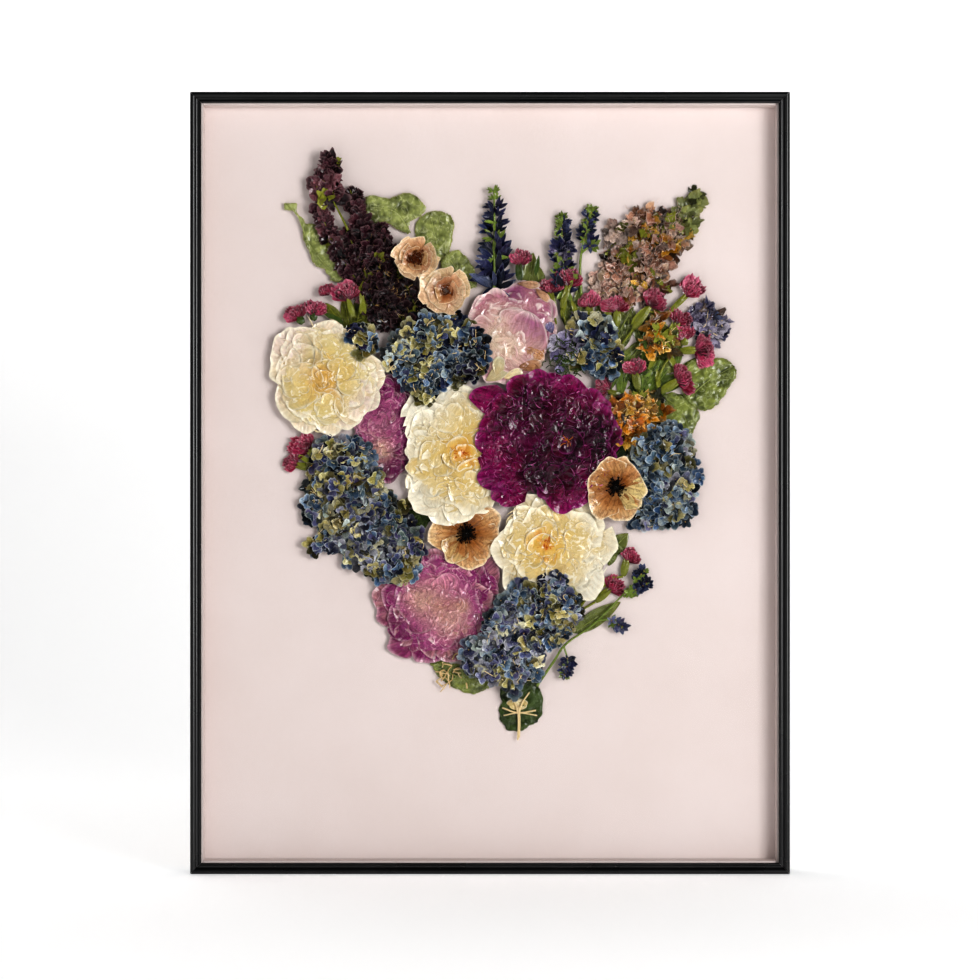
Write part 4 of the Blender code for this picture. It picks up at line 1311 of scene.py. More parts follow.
@dataclass
class FloretHead(Specimen):
    """A head made of many small florets and pale stalks, over a dark bed, where it has one, that
    is painted shade in the gaps.
    """

    slot: str = "petal_slate"
    finish: DriedTissue = SLATE
    kind: FloretKind = HYDRANGEA
    spacing: float = 6.4
    margin: float = 2.4
    accents: tuple[tuple[DriedTissue, float], ...] = ()
    zones: tuple[tuple[float, float, float, DriedTissue], ...] = ()
    tones: Range = (0.1, 0.9)
    cluster: float = 15.0
    gap_shade: float = -0.82
    stalks: int = 26
    stalk_finish: DriedLeaf = STRAW
    bedded: bool = True

    def base_tone(self, x: np.ndarray, z: np.ndarray) -> np.ndarray:
        """Drifts slowly over the head, so neighbours are alike."""
        low, high = self.tones
        drift = CRUMPLE.at(x / self.cluster + 3.7, z / self.cluster + 9.1)
        return low + (high - low) * (0.5 + 0.5 * drift)

    def arrange(self) -> None:
        """Lays the dark bed of painted shade, the stalks and the florets, the lower layer first
        and darker, as painted shade.
        """
        rng = self.rng
        if self.bedded:
            # The dark bed is painted shade showing between the florets
            self.bed(spot=(-0.6, 0, self.gap_shade))
        for low in (0.0, 0.5):
            places = self.outline.scatter(self.spacing, rng, self.margin * (0.5 + low))
            if low:
                self.add_stalks(places)
            for at in places:
                gap, _ = self.outline.nearest(at[None])
                dome = min(1.0, gap[0] / 12) ** 0.6
                high = self.relief * (0.12 + 0.6 * low + 0.3 * rng.random()) * (0.5 + 0.5 * dome)
                # Lower-layer florets get half a shade less: painted shade under the upper layer
                lay_floret(self.posy, self.kind, at, high, self.choose(at),
                           (rng.uniform(-0.4, 0.35), rng.uniform(-0.1, 0.25),
                            rng.uniform(-0.4, 0.15) - 0.5 * (1 - 2 * low)))

    def choose(self, at: np.ndarray) -> DriedTissue:
        """The finish of the floret at a place: zones first, then clusters of accents."""
        for right, up, size, finish in self.zones:
            if np.hypot(*(at - self.outline.spot(right, up))) < size * self.rng.uniform(0.6, 1.2):
                return finish
        for number, (finish, share) in enumerate(self.accents):
            cluster = CRUMPLE.at(at[:1] / 8 + 41 + 9 * number, at[1:] / 8 + 23)[0]
            if 0.5 + 0.5 * cluster + self.rng.normal(0, 0.22) > 1 - share:
                return finish
        return self.finish

    def add_stalks(self, places: np.ndarray) -> None:
        """Adds thin stalks that show between the florets."""
        rng = self.rng
        for _ in range(min(self.stalks, len(places))):
            at = places[rng.integers(len(places))]
            turn = rng.uniform(0, 2 * math.pi)
            end = at + rng.uniform(5, 11) * towards(turn)
            if not self.outline.holds(end[None])[0]:
                continue
            bow = (at + end) / 2 + rng.normal(0, 1.4, 2)
            high = self.relief * rng.uniform(0.7, 1.05)
            path = smooth_path([(*at, high), (*bow, high + 0.4), (*end, high)], 3)
            self.posy.tube(path, rng.uniform(0.2, 0.34), self.stalk_finish,
                           spot=(rng.uniform(-0.2, 0.5), 0, 0.2), sides=5)


@dataclass
class Poppy(Specimen):
    """A flat papery poppy: a few broad petals round a dark eye of stamens."""

    slot: str = "petal_tan"
    finish: DriedTissue = TAN
    petals: tuple[tuple[float, float, float], ...] = ()
    eye: float = 7.0
    rays: int = 90
    ray_thick: float = 0.22
    ray_high: float = 1.5
    cut: Petal = Petal(rounding=0.45, crumple=0.7, grain=5.0, cup=0.9, curl=0.9,
                       ruffle=0.3, waves=1.5, ragged=0.1, rows=16, columns=18)

    def arrange(self) -> None:
        """Lays the petals one over the other, then the eye."""
        rng = self.rng
        for number, (degrees, spread, hue) in enumerate(self.petals):
            turn = math.radians(degrees)
            length = self.outline.reach(self.middle, turn)
            root = self.middle + 1.0 * towards(turn)
            self.posy.petal(self.cut, root, turn, length - 0.8, spread, 0.25 + 0.22 * number,
                            self.finish, rise=0.015, spot=(0, hue, rng.uniform(-0.06, 0.04)))
        for _ in range(self.rays):
            turn = rng.uniform(0, 2 * math.pi)
            reach = self.eye * rng.uniform(0.35, 1.0)
            ray = towards(turn)
            start, end = self.middle + ray * 0.8, self.middle + ray * reach
            high = self.ray_high + rng.uniform(0, 0.5)
            path = [(*start, high), (*((start + end) / 2), high + 0.25), (*end, high)]
            self.posy.tube(path, self.ray_thick, SOOT, spot=(-0.7, 0, 0), sides=4)
            self.posy.bud(end, rng.uniform(0.45, 0.8), high, SOOT,
                          spot=(rng.uniform(-0.9, -0.4), 0, 0), sides=5, rings=3)
        self.posy.bud(self.middle, self.eye * 0.33, 1.7, SOOT, tall=0.4, sides=12, rings=5)


@dataclass
class RolledRose(Specimen):
    """A small rose dried half open: a bowl of rolled petals round a spiral heart."""

    slot: str = "petal_tan"
    finish: DriedTissue = PAPERY
    bowl: float = 9.0
    crumbs: int = 0
    turns: float = 2.6
    flare: float = 0.3  # of the radius, that a curl's foot stands inside its top

    def arrange(self) -> None:
        """Lays the outer petals, the wall of the bowl and the spiral inside it."""
        rng = self.rng
        outer = Petal(waist=0.6, rounding=0.22, cup=1.0, curl=1.2, crumple=0.7, grain=6.0,
                      ruffle=0.5, waves=1.5, ragged=0.1, rows=14, columns=14)
        for ring, count, rise in ((1.0, 5, 0.02), (0.8, 4, 0.08), (0.56, 4, 0.14)):
            for i in range(count):
                phi = 2 * math.pi * (i + rng.uniform(-0.25, 0.25)) / count + 3 * ring
                far = self.outline.reach(self.middle, phi) * ring * rng.uniform(0.95, 1.05)
                size = far * 0.7
                root = self.middle + (far - size) * towards(phi)
                self.posy.petal(outer, root, phi + rng.normal(0, 0.3), size,
                                size * rng.uniform(1.5, 2.1), 0.3 + 1.2 * (1 - ring),
                                self.finish, rise=rise,
                                spot=draw_spot(rng, (-0.1, 0.25), (-0.1, 0.3), (-0.25, 0.05)))
        self.ribbon(self.bowl * 0.66, 0.8, 2.6)
        self.ribbon(self.bowl * 0.42, self.turns, 0.6)
        for _ in range(self.crumbs):
            at = self.middle + rng.normal(0, self.bowl * 0.26, 2)
            self.posy.bud(at, rng.uniform(0.5, 1.1), rng.uniform(1.2, 2.2), self.finish,
                          spot=(rng.uniform(-1.2, -0.4), 0, -0.3), sides=6, rings=3)

    def ribbon(self, radius: float, turns: float, start: float) -> None:
        """Adds a petal edge on end, curled round the heart.

        Args:
            radius: of the curl at its outer end.
            turns: how often it goes round.
            start: angle where it begins, in radians.
        """
        rng = self.rng
        rows = max(12, round(26 * turns))
        t, c = np.meshgrid(np.linspace(0, 1, rows), np.linspace(0, 1, 5), indexing="ij")
        angle = start + 2 * math.pi * turns * t
        wobble = 1 + 0.2 * CRUMPLE.at(angle * 1.1 + rng.uniform(0, 50), c * 0.5 + radius)
        shrink = 1 - (0.85 if turns > 1 else 0.18) * t
        reach = radius * shrink * wobble * (1 - self.flare * (1 - c))
        high = 0.5 + 1.7 * c ** 0.7 * (0.75 + 0.25 * np.sin(angle * 2.3 + radius))
        points = np.stack((self.middle[0] + reach * np.cos(angle),
                           self.middle[1] + reach * np.sin(angle), high), -1)
        self.posy.net(points, np.stack((c, t * 2, c), -1), self.finish,
                      spot=(-0.3, 0, rng.uniform(-0.2, 0.0)))


@dataclass(frozen=True)
class Sprig:
    """A stem with florets on it. Places are (right, up) of the outline's low corner."""

    path: Places
    stem: float = 0.7
    girth: Range = (7.0, 3.0)
    bare: float = 0.2
    pitch: float = 3.0
    kind: FloretKind | None = None
    finish: DriedTissue = NAVY
    leafy: float = 0.15
    tip: float = 0.85


@dataclass
class SpikeBunch(Specimen):
    """Flower spikes pressed side on: florets each side of a stem, buds at the tip."""

    even: float | None = 0.45
    sprigs: tuple[Sprig, ...] = ()
    stem_finish: DriedLeaf = STEM

    def arrange(self) -> None:
        """Builds the sprigs in turn."""
        for sprig in self.sprigs:
            self.grow(sprig)

    def grow(self, sprig: Sprig) -> None:
        """Builds one stem and its florets from the foot to the tip."""
        rng = self.rng
        flat = smooth_path([self.outline.spot(*p) for p in sprig.path], 8)
        share = np.linspace(0, 1, len(flat))
        high = 1.1 + 0.3 * np.sin(share * 7)
        self.posy.tube(np.column_stack((flat, high)), sprig.stem * (1.15 - 0.6 * share),
                       self.stem_finish, spot=(rng.uniform(-0.2, 0.2), 0, 0), sides=7)
        if sprig.kind is None:
            return
        steps = walked(flat)
        run = np.gradient(flat, axis=0)
        start, end = sprig.girth
        for number, place in enumerate(np.arange(sprig.bare * steps[-1], steps[-1],
                                                 sprig.pitch)):
            t = place / steps[-1]
            at = np.array([np.interp(place, steps, flat[:, i]) for i in (0, 1)])
            way = [np.interp(place, steps, run[:, i]) for i in (0, 1)]
            heading = math.atan2(way[1], way[0])
            girth = start + (end - start) * t
            for side in (-1, 1, 0):
                if side == 0 and number % 2:
                    continue
                turn = heading + side * rng.uniform(0.55, 1.15)
                root = at + (0.12 if side else 0.05) * girth * side * towards(heading + 1.57)
                green = t > sprig.tip or rng.random() < sprig.leafy
                finish = self.stem_finish if green else sprig.finish
                size = girth / start * (0.75 if green or not side else 1.0)
                kind = replace(sprig.kind, length=tuple(v * size for v in sprig.kind.length))
                lay_floret(self.posy, kind, root, 0.5 + 0.9 * (side == 0) + 0.3 * rng.random(),
                           finish, draw_spot(rng, (-0.3, 0.45), (-0.1, 0.25), (-0.25, 0.15)),
                           facing=turn if side else None)


@dataclass(frozen=True)
class Carnation:
    """One spray carnation. Places are (right, up) of the outline's low corner."""

    at: tuple[float, float]
    degrees: float
    size: float = 10.0
    spread: float = 1.5
    calyx: float = 7.0
    stem: Places = ()


@dataclass
class CarnationSpray(Specimen):
    """Pressed spray carnations: fringed petals, long calyxes and the stems that join them."""

    slot: str = "petal_crimson"
    finish: DriedTissue = CRIMSON
    even: float | None = 0.5
    stem_thick: float = 0.95
    flowers: tuple[Carnation, ...] = ()
    leaves: tuple[tuple[float, float, float, float], ...] = ()
    calyx_finish: DriedLeaf = OLIVE

    LAYERS = 3
    OUTER_PETALS = 6

    def arrange(self) -> None:
        """Builds stems, leaves, calyxes and flowers."""
        for flower in self.flowers:
            self.add_stem(flower)
        for right, up, degrees, length in self.leaves:
            cut = Petal(Cut.BLADE, arch=0.4, cup=0.3, crumple=0.2, rows=12, columns=6)
            self.posy.petal(cut, self.outline.spot(right, up), math.radians(degrees), length,
                            length * 0.24, 0.7, self.calyx_finish)
        for flower in self.flowers:
            self.add_flower(flower)

    def add_stem(self, flower: Carnation) -> None:
        """Adds the stem from the calyx down its route."""
        if not flower.stem:
            return
        turn = math.radians(flower.degrees)
        foot = np.array(flower.at) - flower.calyx * towards(turn)
        flat = smooth_path([self.outline.spot(*p) for p in (foot, *flower.stem)], 6)
        path = np.column_stack((flat, np.full(len(flat), 0.7)))
        self.posy.tube(path, self.stem_thick, self.calyx_finish,
                       spot=(self.rng.uniform(-0.2, 0.4), 0, 0), sides=7)

    def add_flower(self, flower: Carnation) -> None:
        """Adds the calyx and three layers of fringed petals."""
        rng = self.rng
        turn = math.radians(flower.degrees)
        at = self.outline.spot(*flower.at)
        ray = towards(turn)
        for side in (-1, 1, 0) if flower.calyx else ():
            foot = at - ray * flower.calyx + 1.1 * side * np.array((-ray[1], ray[0]))
            cut = Petal(Cut.BLADE, arch=1.0, cup=-0.7, crumple=0.4, rows=12, columns=5)
            self.posy.petal(cut, foot, turn + rng.normal(0, 0.06), flower.calyx + 3.5,
                            3.8, 0.8 + 0.5 * (side == 0), self.calyx_finish,
                            spot=draw_spot(rng, (-0.4, 0.4), shade=(-0.3, 0.1)))
        for layer in range(self.LAYERS):
            count = self.OUTER_PETALS - layer
            for i in range(count):
                fan = ((i + 0.5) / count - 0.5) * 1.5 * flower.spread * (1 - 0.12 * layer)
                length = flower.size * (1.0 - 0.2 * layer) * rng.uniform(0.8, 1.12)
                cut = Petal(Cut.FRINGE, teeth=rng.integers(4, 7), bite=0.15, crumple=0.8,
                            grain=2.2, ruffle=0.9, waves=3, columns=12, cup=0.2,
                            waist=0.22, rounding=0.25)
                self.posy.petal(cut, at, turn + fan + rng.normal(0, 0.12), length,
                                length * 0.8, 0.7 + 0.5 * layer, self.finish,
                                rise=rng.uniform(0.02, 0.12),
                                spot=draw_spot(rng, (-0.4, 0.4), (-0.2, 0.2), (-0.3, 0.1)))


@dataclass
class Foliage(Specimen):
    """Loose blades and straws that fill the gaps.

    A blade is (right, up, degrees, length, width); a tuft is (right, up, reach, count,
    degrees) and spreads its small blades at random about that direction. Threads are
    (right, up, reach, count): short curved straws strewn about a place.
    """

    blades: tuple[tuple[float, ...], ...] = ()
    tufts: tuple[tuple[float, float, float, int, float], ...] = ()
    straws: tuple[Places, ...] = ()
    threads: tuple[tuple[float, float, float, int], ...] = ()
    splay: float = 35.0
    tuft_length: Range = (12, 24)
    tuft_width: Range = (4, 9)
    thick: float = 0.4
    rib_thick: float = 0.35
    rib_length: float = 0.9
    even: float | None = 0.0
    ribbed: bool = True

    def arrange(self) -> None:
        """Lays the blades, each with its midrib, then the straws."""
        rng = self.rng
        loose = [(right + rng.uniform(-reach, reach), up + rng.uniform(-reach, reach),
                  degrees + rng.normal(0, self.splay), rng.uniform(*self.tuft_length),
                  rng.uniform(*self.tuft_width))
                 for right, up, reach, count, degrees in self.tufts for _ in range(count)]
        for right, up, degrees, length, width in (*self.blades, *loose):
            turn = math.radians(degrees)
            root = self.outline.spot(right, up)
            lift = rng.uniform(0.4, 1.4)
            cut = Petal(Cut.BLADE if self.ribbed else Cut.OVAL, arch=0.4, cup=0.4, crumple=0.9,
                        grain=2.2, rows=14)
            tint = rng.uniform(-0.3, 0.3)
            self.posy.petal(cut, root, turn, length, width, lift, self.finish,
                            spot=(tint, 0, rng.uniform(-0.3, 0.05)))
            tip = root + self.rib_length * length * towards(turn)
            if self.ribbed:
                rib = smooth_path([(*root, lift + 0.6), (*tip, lift + 0.7)], 6)
                self.posy.tube(rib, self.rib_thick, self.finish, spot=(0.6, 0, 0.2), sides=5)
        for straw in self.straws:
            path = smooth_path([(*self.outline.spot(*p), rng.uniform(2.8, 3.6))
                                for p in straw], 5)
            self.posy.tube(path, self.thick * rng.uniform(0.8, 1.2), STRAW)
        for right, up, reach, count in self.threads:
            for _ in range(count):
                at = self.outline.spot(right, up) + rng.normal(0, 0.5 * reach, 2)
                turns = rng.uniform(0, 6.3) + np.cumsum(rng.normal(0, 0.7, 3))
                steps = rng.uniform(2, 4.5) * np.stack((np.cos(turns), np.sin(turns)), -1)
                path = np.column_stack((at + np.cumsum(steps, 0), rng.uniform(0.6, 2.0, 3)))
                self.posy.tube(smooth_path(path, 3), self.thick * rng.uniform(0.4, 0.7),
                               self.finish, spot=(rng.uniform(-0.2, 0.5), 0, 0), sides=4)


@dataclass
class PressedLeaf(Specimen):
    """A leaf, or a few lying together: a crinkled blade with midrib and side veins."""

    slot: str = "leaf_green"
    finish: DriedTissue = SAGE
    rib: Places = ()
    mesh: float = 0.9
    crinkle: float = 1.6
    grain: float = 9.0
    notch: float = 3.0
    pitch: float = 7.5
    stalk: float = 0.6

    def base_tone(self, x: np.ndarray, z: np.ndarray) -> np.ndarray:
        """Blotches several millimetres wide."""
        return 0.25 * CRUMPLE.at(np.asarray(x) / 9 + 5, np.asarray(z) / 9 + 2)

    def arrange(self) -> None:
        """Lays the blade over its whole outline, then the midrib."""
        rng = self.rng
        points, depth, faces = self.outline.lattice(self.mesh)
        rib = smooth_path([self.outline.spot(*p) for p in self.rib], 8)
        gaps = np.hypot(*(points[:, None] - rib[None]).transpose(2, 0, 1))
        best = gaps.argmin(1)
        run = np.gradient(rib, axis=0)
        off = points - rib[best]
        side = np.sign(run[best, 0] * off[:, 1] - run[best, 1] * off[:, 0])
        steps = walked(rib)
        along, across = steps[best], side * gaps[np.arange(len(points)), best]
        shake = self.notch * np.clip(1 - depth / 6, 0, 1)[:, None]
        wander = CRUMPLE.at(points[:, 0] * 0.24, points[:, 1] * 0.24)
        points = points - (off / np.maximum(np.linalg.norm(off, axis=1, keepdims=True), 1e-6)
                           * shake * (0.5 + 0.5 * wander[:, None]))
        warped = points + 2.5 * CRUMPLE.at(points / 6 + 7, points[:, ::-1] / 6 + 31)
        fold = CRUMPLE.folds(*(warped.T / self.grain + 13))
        fine = CRUMPLE.folds(*(warped.T / 2.4 + 29))
        ridge = np.abs(((along - 0.8 * np.abs(across)) / self.pitch) % 1 - 0.5)
        vein = np.exp(-((ridge / 0.07) ** 2)) * np.clip(depth / 4, 0, 1)
        height = 0.3 + self.crinkle * (0.7 + 0.6 * fold + 0.08 * fine + 0.4 * ridge + 0.2 * vein)
        height = height * np.clip(0.5 + depth / 3, 0, 1)
        # Tone rises on the fold crests as painted highlight and the shade falls in the valleys as
        # painted shade; the paler veins are the leaf's own colour
        valley_shade = np.clip(0.4 - 0.8 * fold - 0.2 * fine, 0, 1) * (1 - vein)
        lie = np.stack((along, across, 1 - np.clip(depth / 2.5, 0, 1)), -1)
        self.posy.add(np.column_stack((points, height)), faces, lie, self.finish,
                      (0.25 * fold + 0.3 * vein, 0 * fold, 0.1 - 0.35 * valley_shade + 0.15 * vein))
        path = np.column_stack((rib, np.full(len(rib), 0.5 + self.crinkle)))
        self.posy.tube(path, self.stalk * np.linspace(1, 0.35, len(rib)), self.finish,
                       spot=(0.5, 0, 0.15))


# ------------------------------------------------------------- the list of flowers


def specimens() -> list[Specimen]:
    """Every pressed specimen, with its places in millimetres from its own low corner."""
    return [
        RuffledBloom(
            "rose_cream_left", heart=(43, 44), relief=2.8,
            knots=((62, 50), (28, 40), (48, 20), (64, 28), (28, 66), (52, 70), (14, 52)),
            outer_spot=(0.15, 0.35, 0.02),
            patches=(Patch(15, 72, 20, hue=0.9), Patch(80, 18, 20, hue=0.85),
                     Patch(4, 30, 12, hue=0.5), Patch(60, 90, 14, hue=0.4),
                     Patch(43, 44, 12, tone=-0.25))),
        RuffledBloom(
            "rose_cream_middle", "petal_cream", CREAM_PALE, heart=(52, 60), relief=2.5,
            stamens=14, outer_spot=(0.1, 0.3, 0.02), petal=27,
            knots=((30, 35), (45, 20), (28, 58), (60, 40), (40, 86)),
            patches=(Patch(6, 30, 14, hue=0.8), Patch(25, 10, 14, hue=0.7),
                     Patch(15, 95, 24, hue=0.7, shade=-0.05), Patch(35, 110, 18, hue=0.5))),
        RuffledBloom(
            "rose_cream_lower", "petal_cream", CREAM_PALE, heart=(41, 46), relief=2.4,
            stamens=22, petal=27, outer_spot=(0.1, 0.2, 0.02), fold_spot=(0.0, -0.05, 0.04),
            knots=((18, 50), (62, 52), (60, 28), (26, 24)),
            patches=(Patch(88, 25, 16, hue=0.95), Patch(20, 70, 16, hue=0.3),
                     Patch(75, 8, 14, hue=0.6))),
        RuffledBloom(
            "dahlia_burgundy", "petal_burgundy", BURGUNDY, heart=(75, 58), relief=3.2,
            rings=(1.0, 0.88), petal=30, inner=17, broad=0.95, folds=520, lift=1.2,
            fold_length=(1.5, 7), fold_width=0.36, fold_lift=0.45, fold_spot=(0.1, 0, 0.15),
            # its fold strips carry the painted glints
            fold_vary=0.4, fold_high=(0.9, 1.7), fold_finish=PAINTED_GLINT,
            bed_folds=(7.0, 2.2, 0.55), bed_margin=0.1, stamens=8,
            cut=Petal(Cut.OVAL, crumple=0.9, grain=2.0, ruffle=0.6, cup=0.9,
                      curl=0.6, ragged=0.4, rows=13, columns=12),
            outer=Petal(crumple=0.9, grain=2.4, ruffle=0.6, rounding=0.5, waist=0.6,
                        ragged=0.08, cup=0.6, rows=18, columns=14),
            outer_spot=(0.0, 0.15, 0.0),
            knots=((35, 50), (45, 64), (62, 28), (60, 92), (88, 82), (98, 44)),
            patches=(Patch(6, 58, 9, tone=0.4, hue=0.5), Patch(18, 22, 14, tone=0.5, hue=0.6),
                     Patch(68, 108, 12, tone=0.4, hue=0.5), Patch(84, 6, 11, tone=0.5, hue=0.6),
                     Patch(35, 62, 12, tone=0.25, hue=0.3), Patch(75, 58, 24, tone=0.35),
                     Patch(98, 92, 18, tone=0.2, hue=0.2), Patch(78, 50, 6, tone=-0.5),
                     Patch(24, 74, 18, tone=-0.5), Patch(52, 28, 16, tone=-0.45),
                     Patch(45, 96, 14, tone=-0.4), Patch(100, 62, 16, tone=-0.4))),
        RuffledBloom(
            "rose_mauve_lower", "petal_mauve", MAUVE, heart=(52, 44), relief=2.4,
            petal=25, broad=1.35, folds=44, fold_spot=(-0.2, 0.1, -0.02), fold_lift=0.5,
            cut=Petal(Cut.OVAL, ruffle=0.5, crumple=0.5, grain=4.0, cup=0.5, curl=0.3,
                      ragged=0.35, rows=12, columns=12),
            knots=((30, 40),),
            patches=(Patch(36, 50, 13, hue=0.75), Patch(60, 32, 14, hue=0.6),
                     Patch(16, 22, 16, tone=0.3, shade=-0.1), Patch(90, 58, 16, tone=0.3),
                     Patch(68, 45, 5, tone=-0.6, hue=0.3))),
        RuffledBloom(
            "rose_mauve_hidden", "petal_mauve", MAUVE, heart=(24, 50), relief=2.0,
            petal=20, inner=12, folds=50, outer_spot=(0.3, 0.0, -0.1),
            patches=(Patch(24, 28, 9, hue=0.9), Patch(30, 8, 14, tone=0.6, shade=-0.25),
                     Patch(24, 52, 12, tone=0.4, shade=-0.2))),
        RuffledBloom(
            "peony_pink", "petal_pink", PINK, heart=(34, 34), relief=2.5, rings=(1.0, 0.8),
            petal=34, inner=36, pitch=20, folds=30, fold_length=(8, 20), fold_width=1.3,
            fold_high=(0.6, 1.4), cut=Petal(Cut.OVAL, crumple=0.6, grain=8.0,
                                            ruffle=0.6, waves=1.2, cup=0.8, curl=0.5,
                                            ragged=0.4, rows=20, columns=18),
            outer=Petal(crumple=0.5, grain=6.0, ruffle=0.6, cup=0.6, curl=0.4, rows=14,
                        columns=14),
            bed_folds=(15.0, 6.5, 0.95), outer_spot=(0.05, 0.1, 0.0), bed_margin=0.1,
            patches=(Patch(52, 44, 17, hue=0.75), Patch(36, 68, 8, hue=1.0, shade=-0.25),
                     Patch(16, 22, 18, tone=-0.5), Patch(70, 26, 9, hue=0.5, shade=-0.3),
                     Patch(64, 70, 14, tone=0.4, shade=-0.1))),
        # The tan roses' heart patches are their own browner centre, darkened further as painted
        # shade in the bowl
        RolledRose("rose_tan_upper", heart=(18, 17.5), relief=2.6,
                   bowl=10, crumbs=110, turns=0.9,
                   patches=(Patch(18, 17.5, 6.5, tone=-0.5, shade=-0.15),)),
        RolledRose("rose_tan_lower", heart=(22, 18), relief=2.6, bowl=12,
                   patches=(Patch(20, 17, 6, tone=-0.3, shade=-0.1),
                            Patch(30, 8, 12, tone=0.2, hue=-0.2))),
        Poppy("poppy_right", heart=(24.5, 33), eye=8,
              petals=((-75, 30, 0.1), (-20, 30, 0.75), (60, 32, 0), (175, 30, 0),
                      (115, 30, 0.1), (-125, 28, 0))),
        Poppy("poppy_left", heart=(31, 28), eye=8.5,
              petals=((180, 28, 0.1), (100, 30, 0), (-125, 24, 0.35), (-75, 32, 0),
                      (-25, 32, 0), (30, 34, 0))),
        FloretHead(
            "hydrangea_centre", relief=3.2,
            heart=(40, 36), accents=((YELLOWED, 0.34), (NAVY, 0.18)), tones=(0.15, 0.8),
            zones=((68, 24, 10, VIOLET),), stalks=34,
            patches=(Patch(66, 24, 16, tone=-0.3, shade=-0.2),
                     Patch(14, 45, 14, tone=0.3), Patch(30, 62, 14, tone=0.3))),
        FloretHead(
            "hydrangea_sprig", relief=2.8,
            heart=(13, 14), accents=((YELLOWED, 0.25), (NAVY, 0.3)), tones=(0.1, 0.6),
            stalks=6),
        FloretHead(
            "hydrangea_left", "petal_slate", VIOLET, relief=2.4,
            heart=(45, 60), accents=((YELLOWED, 0.3), (SLATE, 0.5)), tones=(0.3, 1.1),
            zones=((42, 80, 6, YELLOWED), (27, 48, 7, YELLOWED), (62, 76, 6, YELLOWED),
                   (30, 104, 8, YELLOWED)), stalks=60,
            patches=(Patch(27, 48, 8, tone=0.3, hue=0.4), Patch(42, 80, 8, tone=0.3, hue=0.5),
                     Patch(88, 38, 14, tone=-0.2, hue=0.3), Patch(70, 60, 12, tone=-0.3))),
        FloretHead(
            "hydrangea_right", relief=2.4,
            heart=(27, 40), accents=((YELLOWED, 0.16), (VIOLET, 0.2)), tones=(0.45, 1.1),
            stalks=16),
        FloretHead(
            "hydrangea_lower", "petal_slate", VIOLET, relief=3.0,
            heart=(45, 50), accents=((YELLOWED, 0.32), (SLATE, 0.45)), tones=(0.3, 1.05),
            stalks=30),
        FloretHead(
            "hydrangea_upper_right", relief=2.4,
            heart=(22, 24), accents=((YELLOWED, 0.34), (NAVY, 0.2)), tones=(0.45, 1.2),
            zones=((6, 28, 9, LILAC),), stalks=30),
        SpikeBunch(
            "stock_spike", "petal_plum", PLUM, relief=2.3, stem_finish=OLIVE,
            sprigs=tuple(
                Sprig(path, stem, girth, 0.0, pitch, CUPPED, PLUM, leafy, tip=2)
                for path, stem, girth, pitch, leafy in (
                    (((61, 0), (44, 20), (18, 59), (4, 92)), 0.8, (8, 6), 5.5, 0.04),
                    (((82, 8), (68, 40), (58, 59), (53, 76)), 0.8, (10, 6), 5.6, 0.08),
                    (((70, 0), (44, 34), (32, 60), (26, 72)), 0.8, (11, 6), 5.6, 0.08),
                    (((68, 4), (58, 30), (48, 51), (41, 68), (34, 88), (29, 104)), 0.9,
                     (11, 9), 5.4, 0.03))),
            patches=(Patch(62, 20, 34, tone=-0.3, shade=-0.45),
                     Patch(6, 80, 9, hue=0.3, tone=0.3))),
        SpikeBunch(
            "stock_bud", "petal_plum", PLUM, stem_finish=OLIVE,
            sprigs=(
                Sprig(((32, -6), (24, 10), (16, 24)), stem=0.9),
                Sprig(((18, 17), (12, 30)), stem=1.4, girth=(10, 10), bare=0.0, pitch=3.4,
                      kind=replace(CUPPED, length=(10, 14)), finish=PLUM,
                      leafy=0.2, tip=2),
                Sprig(((15, 32), (20, 46)), stem=1.2, girth=(8, 8), bare=0.0, pitch=3.4,
                      kind=CUPPED, finish=PLUM, leafy=0.2, tip=2)),
            patches=(Patch(14, 28, 20, tone=0.35, shade=0.25),
                     Patch(20, 46, 8, tone=-0.2))),
        SpikeBunch(
            "delphinium_navy", "petal_navy", NAVY, relief=2.3,
            sprigs=(Sprig(((18, -4), (18, 30), (18, 60), (17.5, 78)), stem=1.1,
                          girth=(14, 5), bare=0.08, pitch=6.2, kind=TUBULAR, leafy=0.2,
                          tip=0.86),)),
        SpikeBunch(
            "veronica_lilac", "petal_lilac", NAVY,
            sprigs=(
                Sprig(((14, 0), (13, 25), (12, 45), (12, 64)), stem=0.9, girth=(11, 5),
                      bare=0.05, pitch=4.8, kind=replace(STARRY, length=(10, 16)),
                      leafy=0.25, tip=0.9),
                Sprig(((27, 0), (26, 20), (27, 33), (31, 50), (36, 69)), stem=1.1,
                      girth=(9, 5), bare=0.62, pitch=3.6, kind=STARRY, leafy=0.6, tip=0.9),
                Sprig(((27, 33), (38, 42)), stem=0.8, girth=(7, 5), bare=0.6, pitch=3,
                      kind=STARRY, leafy=0.4, tip=2),
                Sprig(((8, 32), (18, 38)), stem=0.6, girth=(9, 8), bare=0.0, pitch=3.2,
                      kind=replace(STARRY, length=(6, 9), petals=6, fan=3), finish=LILAC,
                      leafy=0.0, tip=2))),
        FloretHead(
            "plume_rose", "petal_beige", BEIGE, relief=2.3, heart=(40, 35),
            kind=FRILLED, spacing=6.8, accents=((ORANGE, 0.1), (OLIVE, 0.06), (RUST, 0.22)),
            tones=(0.4, 1.0),
            zones=((86, 84, 9, SAGE), (76, 68, 10, SAGE), (52, 50, 5, BOTTLE)),
            stalks=60, bedded=False, stalk_finish=OLIVE,
            patches=(Patch(60, 6, 16, shade=-0.25), Patch(22, 56, 10, tone=0.4))),
        CarnationSpray(
            "carnation_left_upper", heart=(15, 15),
            flowers=(Carnation((20, 12), 105, 14, 1.1, 14), Carnation((5, 16), 120, 8, 1.2, 0)),
            leaves=((33, 1, 105, 17), (29, 1, 80, 15))),
        CarnationSpray(
            "carnation_left_middle", heart=(20, 10),
